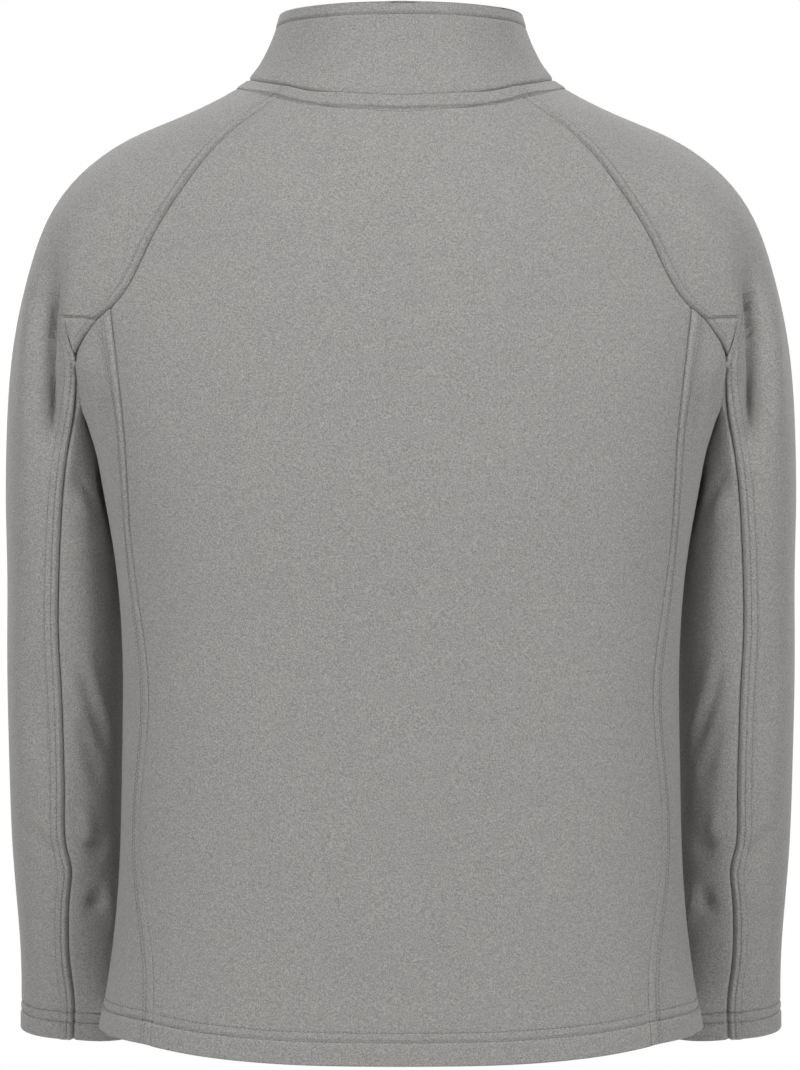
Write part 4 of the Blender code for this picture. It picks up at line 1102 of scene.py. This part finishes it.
back, backRise = madeBack()
front, frontRise, slitRow = madeFront()
print("back and front shaped")
side, sideRise = madeSide()
(top, topRise), (triangle, triangleRise), (under, underRise) = madeSleeve(side)
print("sides and sleeves shaped")
collar, collarRise = madeCollar()
frontWhole = np.concatenate([front[:, ::-1], mirrored(front)[:, ::-1]], axis=1)
frontWholeRise = np.concatenate([frontRise[:, ::-1], frontRise], axis=1)
slitCells = {(row, front.shape[1] - 1) for row in range(slitRow)}
thin, thick = wallLook["fleece"], wallLook["collar"]
panels = [
    Panel("back_panel", [bothHalves(back)], [bothRises(backRise)], thin),
    Panel("front_panel", [frontWhole], [frontWholeRise], thin, slitCells),
    Panel("collar", [bothHalves(collar)[::-1]], [bothRises(collarRise)[::-1]], thick),
]
for kind, grids, rises in (
    ("side_panel", [side], [sideRise]),
    ("top_sleeve", [top, triangle], [topRise, triangleRise]),
    ("under_sleeve", [under], [underRise]),
):
    turned = kind == "under_sleeve"
    others = [mirrored(grid) for grid in grids], [rise[:, ::-1] for rise in rises]
    panels += [
        Panel(kind + "_left", grids, rises, thin, turned=turned),
        Panel(kind + "_right", *others, thin, turned=turned),
    ]
meetAtSeams(panels)
for panel in panels:
    isCollar = panel.name == "collar"
    foldedAbove = panel.points[:, 2].min() + wallLook["foldedAbove"] * mm if isCollar else None
    piece = closedWall("cloth_" + panel.name, panel, fleece, foldedAbove=foldedAbove)
    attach(piece, "pullover")
    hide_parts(panel.name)
print("cloth walls closed")

neckRow, raglanRow, elbowRow = sewn["neck"][2][0], sewn["raglan"][2][0], sewn["elbow"][2][1]
elbowFrom = len(raglanBack) + 14  # the row of the top sleeve that its elbow seam starts at
bodyRows, sleeveRows = [], []
for grid, rise in ((back, backRise), (front, frontRise), (side, sideRise)):
    bodyRows += [rowAt(grid, rise, 0, distance, True) for distance in hemLook["rows"]]
for grid, rise in ((back, backRise), (front, frontRise)):
    bodyRows.append(rowAt(grid, rise, 0, neckRow))
bodyRows.append(rowAt(front[: slitRow + 1], frontRise[: slitRow + 1], 1, sewn["slit"][2][0]))
bodyRows.append(rowAt(collar, collarRise, 0, bandLook["row"], True, True))
for distance in sewn["side"][2]:
    bodyRows += [rowAt(side, sideRise, 1, distance), rowAt(side, sideRise, 1, distance, True)]
for grid, rise, turned in ((top, topRise, False), (under, underRise, True)):
    sleeveRows += [rowAt(grid, rise, 0, distance, True, turned) for distance in cuffLook["rows"]]
sleeveRows.append(rowAt(top, topRise, 0, neckRow))
sleeveRows += [rowAt(top, topRise, 1, raglanRow), rowAt(top, topRise, 1, raglanRow, True)]
sleeveRows.append(rowAt(top[elbowFrom:], topRise[elbowFrom:], 1, elbowRow))
sleeveRows.append(rowAt(triangle, triangleRise, 1, raglanRow))
thread = plainMaterial("spun polyester thread", threadLook["colour"], 0.8, 0.3, 0.05)  # matt, hairy; its grey darker than the cloth's, partly painted shade along the sunken rows
for name, rows in (("thread_body", bodyRows), ("thread_sleeves", sleeveRows)):
    piece = stitched(name, rows + [row * [-1, 1, 1, -1, 1, 1] for row in rows], thread)
    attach(piece, "pullover")
print("rows of stitches sewn")


# zip: woven tapes as thin cloth, the coil's loops on its strip, and satin enamel on the hard parts

zipLook = {  # mm
    "tapeFront": -2.85, "tapeThick": 0.5, "tapeRound": 0.12,  # behind the cloth's face; its rounded edge
    "tapeGap": 0.3, "collarTape": 4.2, "tape": 12.6,          # half widths: between them, above, below
    "tapeTop": 0.3, "tapeWidens": (1.5, 3.5), "tapeTails": (4, 7.5),  # below the edge, neck and slit
    "tapeRows": (26, 62), "tapeColumns": 7,
    "weft": 0.45, "warp": 0.5, "weave": 0.12,                 # its ribs, its warp, and their relief
    "coilPitch": 1.3, "coilThick": 0.62, "coilReach": 1.75, "coilFront": -0.55,
    "coilSunk": 0.35, "coilAside": 0.72, "coilDeep": 0.75, "coilEnds": 0.6,
    "coilWide": 1.25,                                         # a loop's width in shares of its reach
    "tapeColour": "85817f", "tapeShade": "6d6a68", "coilColour": "7d7a78", "enamel": "74716f",
}


def wovenTape():  # polyester tape: ribs of weft across a fine warp, darker between them as painted shade
    made, tree = newMaterial("woven polyester tape")
    place = add(tree, "ShaderNodeTexCoord").outputs["Object"]
    ribScale = 0.157 * 1000 / zipLook["weft"] / 2  # ribs four times as coarse as they are, to show
    ribs = add(tree, "ShaderNodeTexWave", {"Vector": place, "Scale": ribScale, "Distortion": 0.6},
               bands_direction="Z").outputs["Fac"]
    warp = add(tree, "ShaderNodeTexNoise", {
        "Vector": place, "Scale": 1000 / zipLook["warp"], "Detail": 2.0,
    }).outputs["Fac"]
    both = add(tree, "ShaderNodeMath", {0: ribs, 1: warp}, operation="ADD").outputs[0]
    # painted shade between the ribs, where the bump sinks; the warp noise adds the tape's uneven tone
    tone = add(tree, "ShaderNodeMapRange", {
        "Value": both, "From Max": 2.0, "To Min": 0.35, "To Max": 1.0,
    }).outputs[0]
    shade, light = colour(zipLook["tapeShade"]), colour(zipLook["tapeColour"])
    mixed = add(tree, "ShaderNodeMix", {0: tone, 6: shade, 7: light}, data_type="RGBA").outputs[2]
    bump = add(tree, "ShaderNodeBump", {"Height": both, "Distance": zipLook["weave"] * mm})
    shader = add(tree, "ShaderNodeBsdfPrincipled", {
        "Base Color": mixed, "Roughness": 0.8, "Sheen Weight": 0.1, "Normal": bump.outputs["Normal"],
    })
    add(tree, "ShaderNodeOutputMaterial", {"Surface": shader.outputs[0]})
    return made


zipTop, zipSlit = collar[:0:-1, -1] * [0, 1, 1], front[: slitRow + 1, 0] * [0, 1, 1]
zipLine = np.concatenate([zipTop, zipSlit[1:]])
zipRun = lengths(zipLine)
neckAt, slitAt = lengths(zipTop)[-1], zipRun[-1]
lean = front[:, 1] - front[:, 0]
lean /= lean[:, :1]
zipLean = np.concatenate([np.tile([1.0, 0, 0], (len(zipTop), 1)), lean[1 : slitRow + 1]])


def onZip(at, reach=2 * mm):  # a point on the zip's line, with the directions down it and out of it
    point, ahead, behind = (
        np.array([np.interp(place, zipRun, zipLine[:, axis]) for axis in range(3)])
        for place in (at, at + reach, at - reach)
    )
    down = (ahead - behind) / np.linalg.norm(ahead - behind)
    return point, down, np.cross(down, [1.0, 0, 0])


def tapeGrid():  # a half tape, from its inner edge by the coil outwards
    above, below = zipLook["tapeRows"]
    inCollar = np.linspace(zipLook["tapeTop"] * mm, neckAt, above)[:-1]
    tails = [slitAt + tail * mm for tail in zipLook["tapeTails"]]
    narrow, low, high = zipLook["collarTape"], *zipLook["tapeWidens"]
    rows = []
    for at in np.concatenate([inCollar, np.linspace(neckAt, slitAt, below), tails]):
        point, down, out = onZip(min(at, slitAt))
        point = point + down * max(at - slitAt, 0)
        widened = float(eased(at / mm, neckAt / mm + low, neckAt / mm + high))
        wide = narrow + (zipLook["tape"] - narrow) * widened
        leaning = np.array([np.interp(at, zipRun, zipLean[:, axis]) for axis in range(3)])
        across = np.linspace(zipLook["tapeGap"], wide, zipLook["tapeColumns"]) * mm
        inner, outer = np.minimum(across, slitHalf)[:, None], np.maximum(across - slitHalf, 0)[:, None]
        rows.append(point + out * zipLook["tapeFront"] * mm + inner * [1.0, 0, 0] + outer * leaning)
    return np.array(rows)


tape, flatTape = wovenTape(), tapeGrid()
for hand, grid in (("left", flatTape), ("right", mirrored(flatTape))):
    panel = Panel("zip_tape_" + hand, [grid], [np.zeros(grid.shape[:2])], zipLook["tapeThick"], turned=True)
    piece = closedWall("woven_tape_" + hand, panel, tape, zipLook["tapeRound"], 0.0)
    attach(piece, "pullover")
    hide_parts(panel.name)
print("zip tapes woven")


def coilLoops(wire=0.3):  # loops down both sides of the chain, one side half a pitch after the other
    bpy.ops.object.select_all(action="DESELECT")
    bpy.ops.mesh.primitive_torus_add(major_segments=10, minor_segments=5, major_radius=1.0,
                                     minor_radius=wire)
    wide = zipLook["coilReach"] / 2 / (1 + wire) * zipLook["coilWide"]
    loop = shaped((wide, zipLook["coilDeep"], zipLook["coilThick"] / (2 * wire)))
    heights = [vertex.co.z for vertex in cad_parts["zip_chain"].data.vertices]
    low, high = min(heights) + zipLook["coilEnds"] * mm, max(heights) - zipLook["coilEnds"] * mm
    places, at = [], 0.0
    while at < slitAt:
        if low < onZip(at)[0][2] < high:
            for way in (1, -1):
                point, _, out = onZip(at + way * zipLook["coilPitch"] / 4 * mm)
                sunk = out * (zipLook["coilFront"] - zipLook["coilSunk"]) * mm
                middle = point + sunk + np.array([way * zipLook["coilAside"] * mm, 0, 0])
                across, out = Vector((way, 0, 0)), Vector(out)
                places.append(placeAt(middle, (across, out, across.cross(out))))
        at += zipLook["coilPitch"] * mm
    return copied("coil_loops", loop, places, nylon)


nylon = plainMaterial("nylon coil", zipLook["coilColour"], 0.42, 0.4, 0.01)  # drawn smooth: a soft shine
coil = coilLoops()
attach(coil, "pullover")
enamel = plainMaterial("satin enamel on zinc", zipLook["enamel"], 0.32, 0.5, 0.004)  # baked: low gloss
for node, finish in (("zip_chain", nylon), ("zip_bottom_stop", nylon), ("zip_top_stop_left", nylon),
                     ("zip_top_stop_right", nylon), ("zip_slider", enamel), ("zip_pull", enamel)):
    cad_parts[node].data.materials.clear()
    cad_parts[node].data.materials.append(finish)
print("zip finished")


# floor, light and camera

sceneLook = {  # m, degrees, mm for the lens
    "floor": -1.48, "floorRadius": 3.8, "floorColour": "f4f4f3",
    "glow": 0.7, "glowOver": (1.6, 3.2),          # out from the middle
    "around": 0.03,                               # how much of the white room's light falls on things
    "distance": 2.2, "height": -0.334, "lens": 97.4, "shift": -0.00093457944, "clip": (0.05, 60),
    "lampPlace": (1.95, 2.25, 1.35), "lampAim": (0, 0, -0.25),
    "lampSize": (1.5, 1.5), "lampPower": 26.8, "lampSpread": 110,
}

bpy.ops.object.select_all(action="DESELECT")
bpy.ops.mesh.primitive_circle_add(vertices=96, radius=sceneLook["floorRadius"], fill_type="NGON",
                                  location=(0, 0, sceneLook["floor"]))
floor = bpy.context.object
floor.name = floor.data.name = "floor"
bpy.ops.object.transform_apply(location=True)
paleFloor = plainMaterial("pale painted floor", sceneLook["floorColour"], 0.9, 3.0, 0.01)  # rolled on, matt
floor.data.materials.append(paleFloor)

tree = paleFloor.node_tree  # far out, past the reach of the lamps, it glows to the eye and lights nothing
spot = add(tree, "ShaderNodeTexCoord").outputs["Object"]
away = add(tree, "ShaderNodeVectorMath", {0: spot}, operation="LENGTH").outputs["Value"]
glowFrom, glowTo = sceneLook["glowOver"]
glow = add(tree, "ShaderNodeMapRange", {
    "Value": away, "From Min": glowFrom, "From Max": glowTo, "To Max": sceneLook["glow"],
}, interpolation_type="SMOOTHSTEP").outputs[0]
straight = add(tree, "ShaderNodeLightPath").outputs["Is Camera Ray"]
shown = add(tree, "ShaderNodeMath", {0: glow, 1: straight}, operation="MULTIPLY").outputs[0]
painted = next(node for node in tree.nodes if node.type == "BSDF_PRINCIPLED")
painted.inputs["Emission Color"].default_value = (1, 1, 1, 1)
tree.links.new(shown, painted.inputs["Emission Strength"])

world = bpy.data.worlds.new("studio")  # a white room, dimmer as a source of light than it looks
bpy.context.scene.world = world
world.use_nodes = True
tree = world.node_tree
seen = add(tree, "ShaderNodeLightPath").outputs["Is Camera Ray"]
strength = add(tree, "ShaderNodeMapRange", {"Value": seen, "To Min": sceneLook["around"], "To Max": 1.0})
tree.links.new(strength.outputs[0], tree.nodes["Background"].inputs["Strength"])
tree.nodes["Background"].inputs["Color"].default_value = (1, 1, 1, 1)

for number, (left, behind) in enumerate(((1, 1), (-1, 1), (1, -1), (-1, -1)), 1):
    lampData = bpy.data.lights.new("soft lamp", "AREA")
    lampData.shape, lampData.energy = "RECTANGLE", sceneLook["lampPower"]
    lampData.size, lampData.size_y = sceneLook["lampSize"]
    lampData.spread = math.radians(sceneLook["lampSpread"])  # a grid on it, so little light falls past
    lamp = bpy.data.objects.new(f"soft lamp {number}", lampData)
    lamp.location = Vector(sceneLook["lampPlace"]) * Vector((left, behind, 1))
    aim = Vector(sceneLook["lampAim"]) - lamp.location
    lamp.rotation_euler = aim.to_track_quat("-Z", "Y").to_euler()
    bpy.context.scene.collection.objects.link(lamp)

cameraData = bpy.data.cameras.new("camera")
cameraData.sensor_width, cameraData.lens = 36, sceneLook["lens"]
cameraData.shift_x, (cameraData.clip_start, cameraData.clip_end) = sceneLook["shift"], sceneLook["clip"]
camera = bpy.data.objects.new("camera", cameraData)
camera.location = (0, sceneLook["distance"], sceneLook["height"])
camera.rotation_euler = (math.pi / 2, 0, math.pi)
bpy.context.scene.collection.objects.link(camera)
bpy.context.scene.camera = camera
bpy.context.scene.view_settings.view_transform = "Standard"
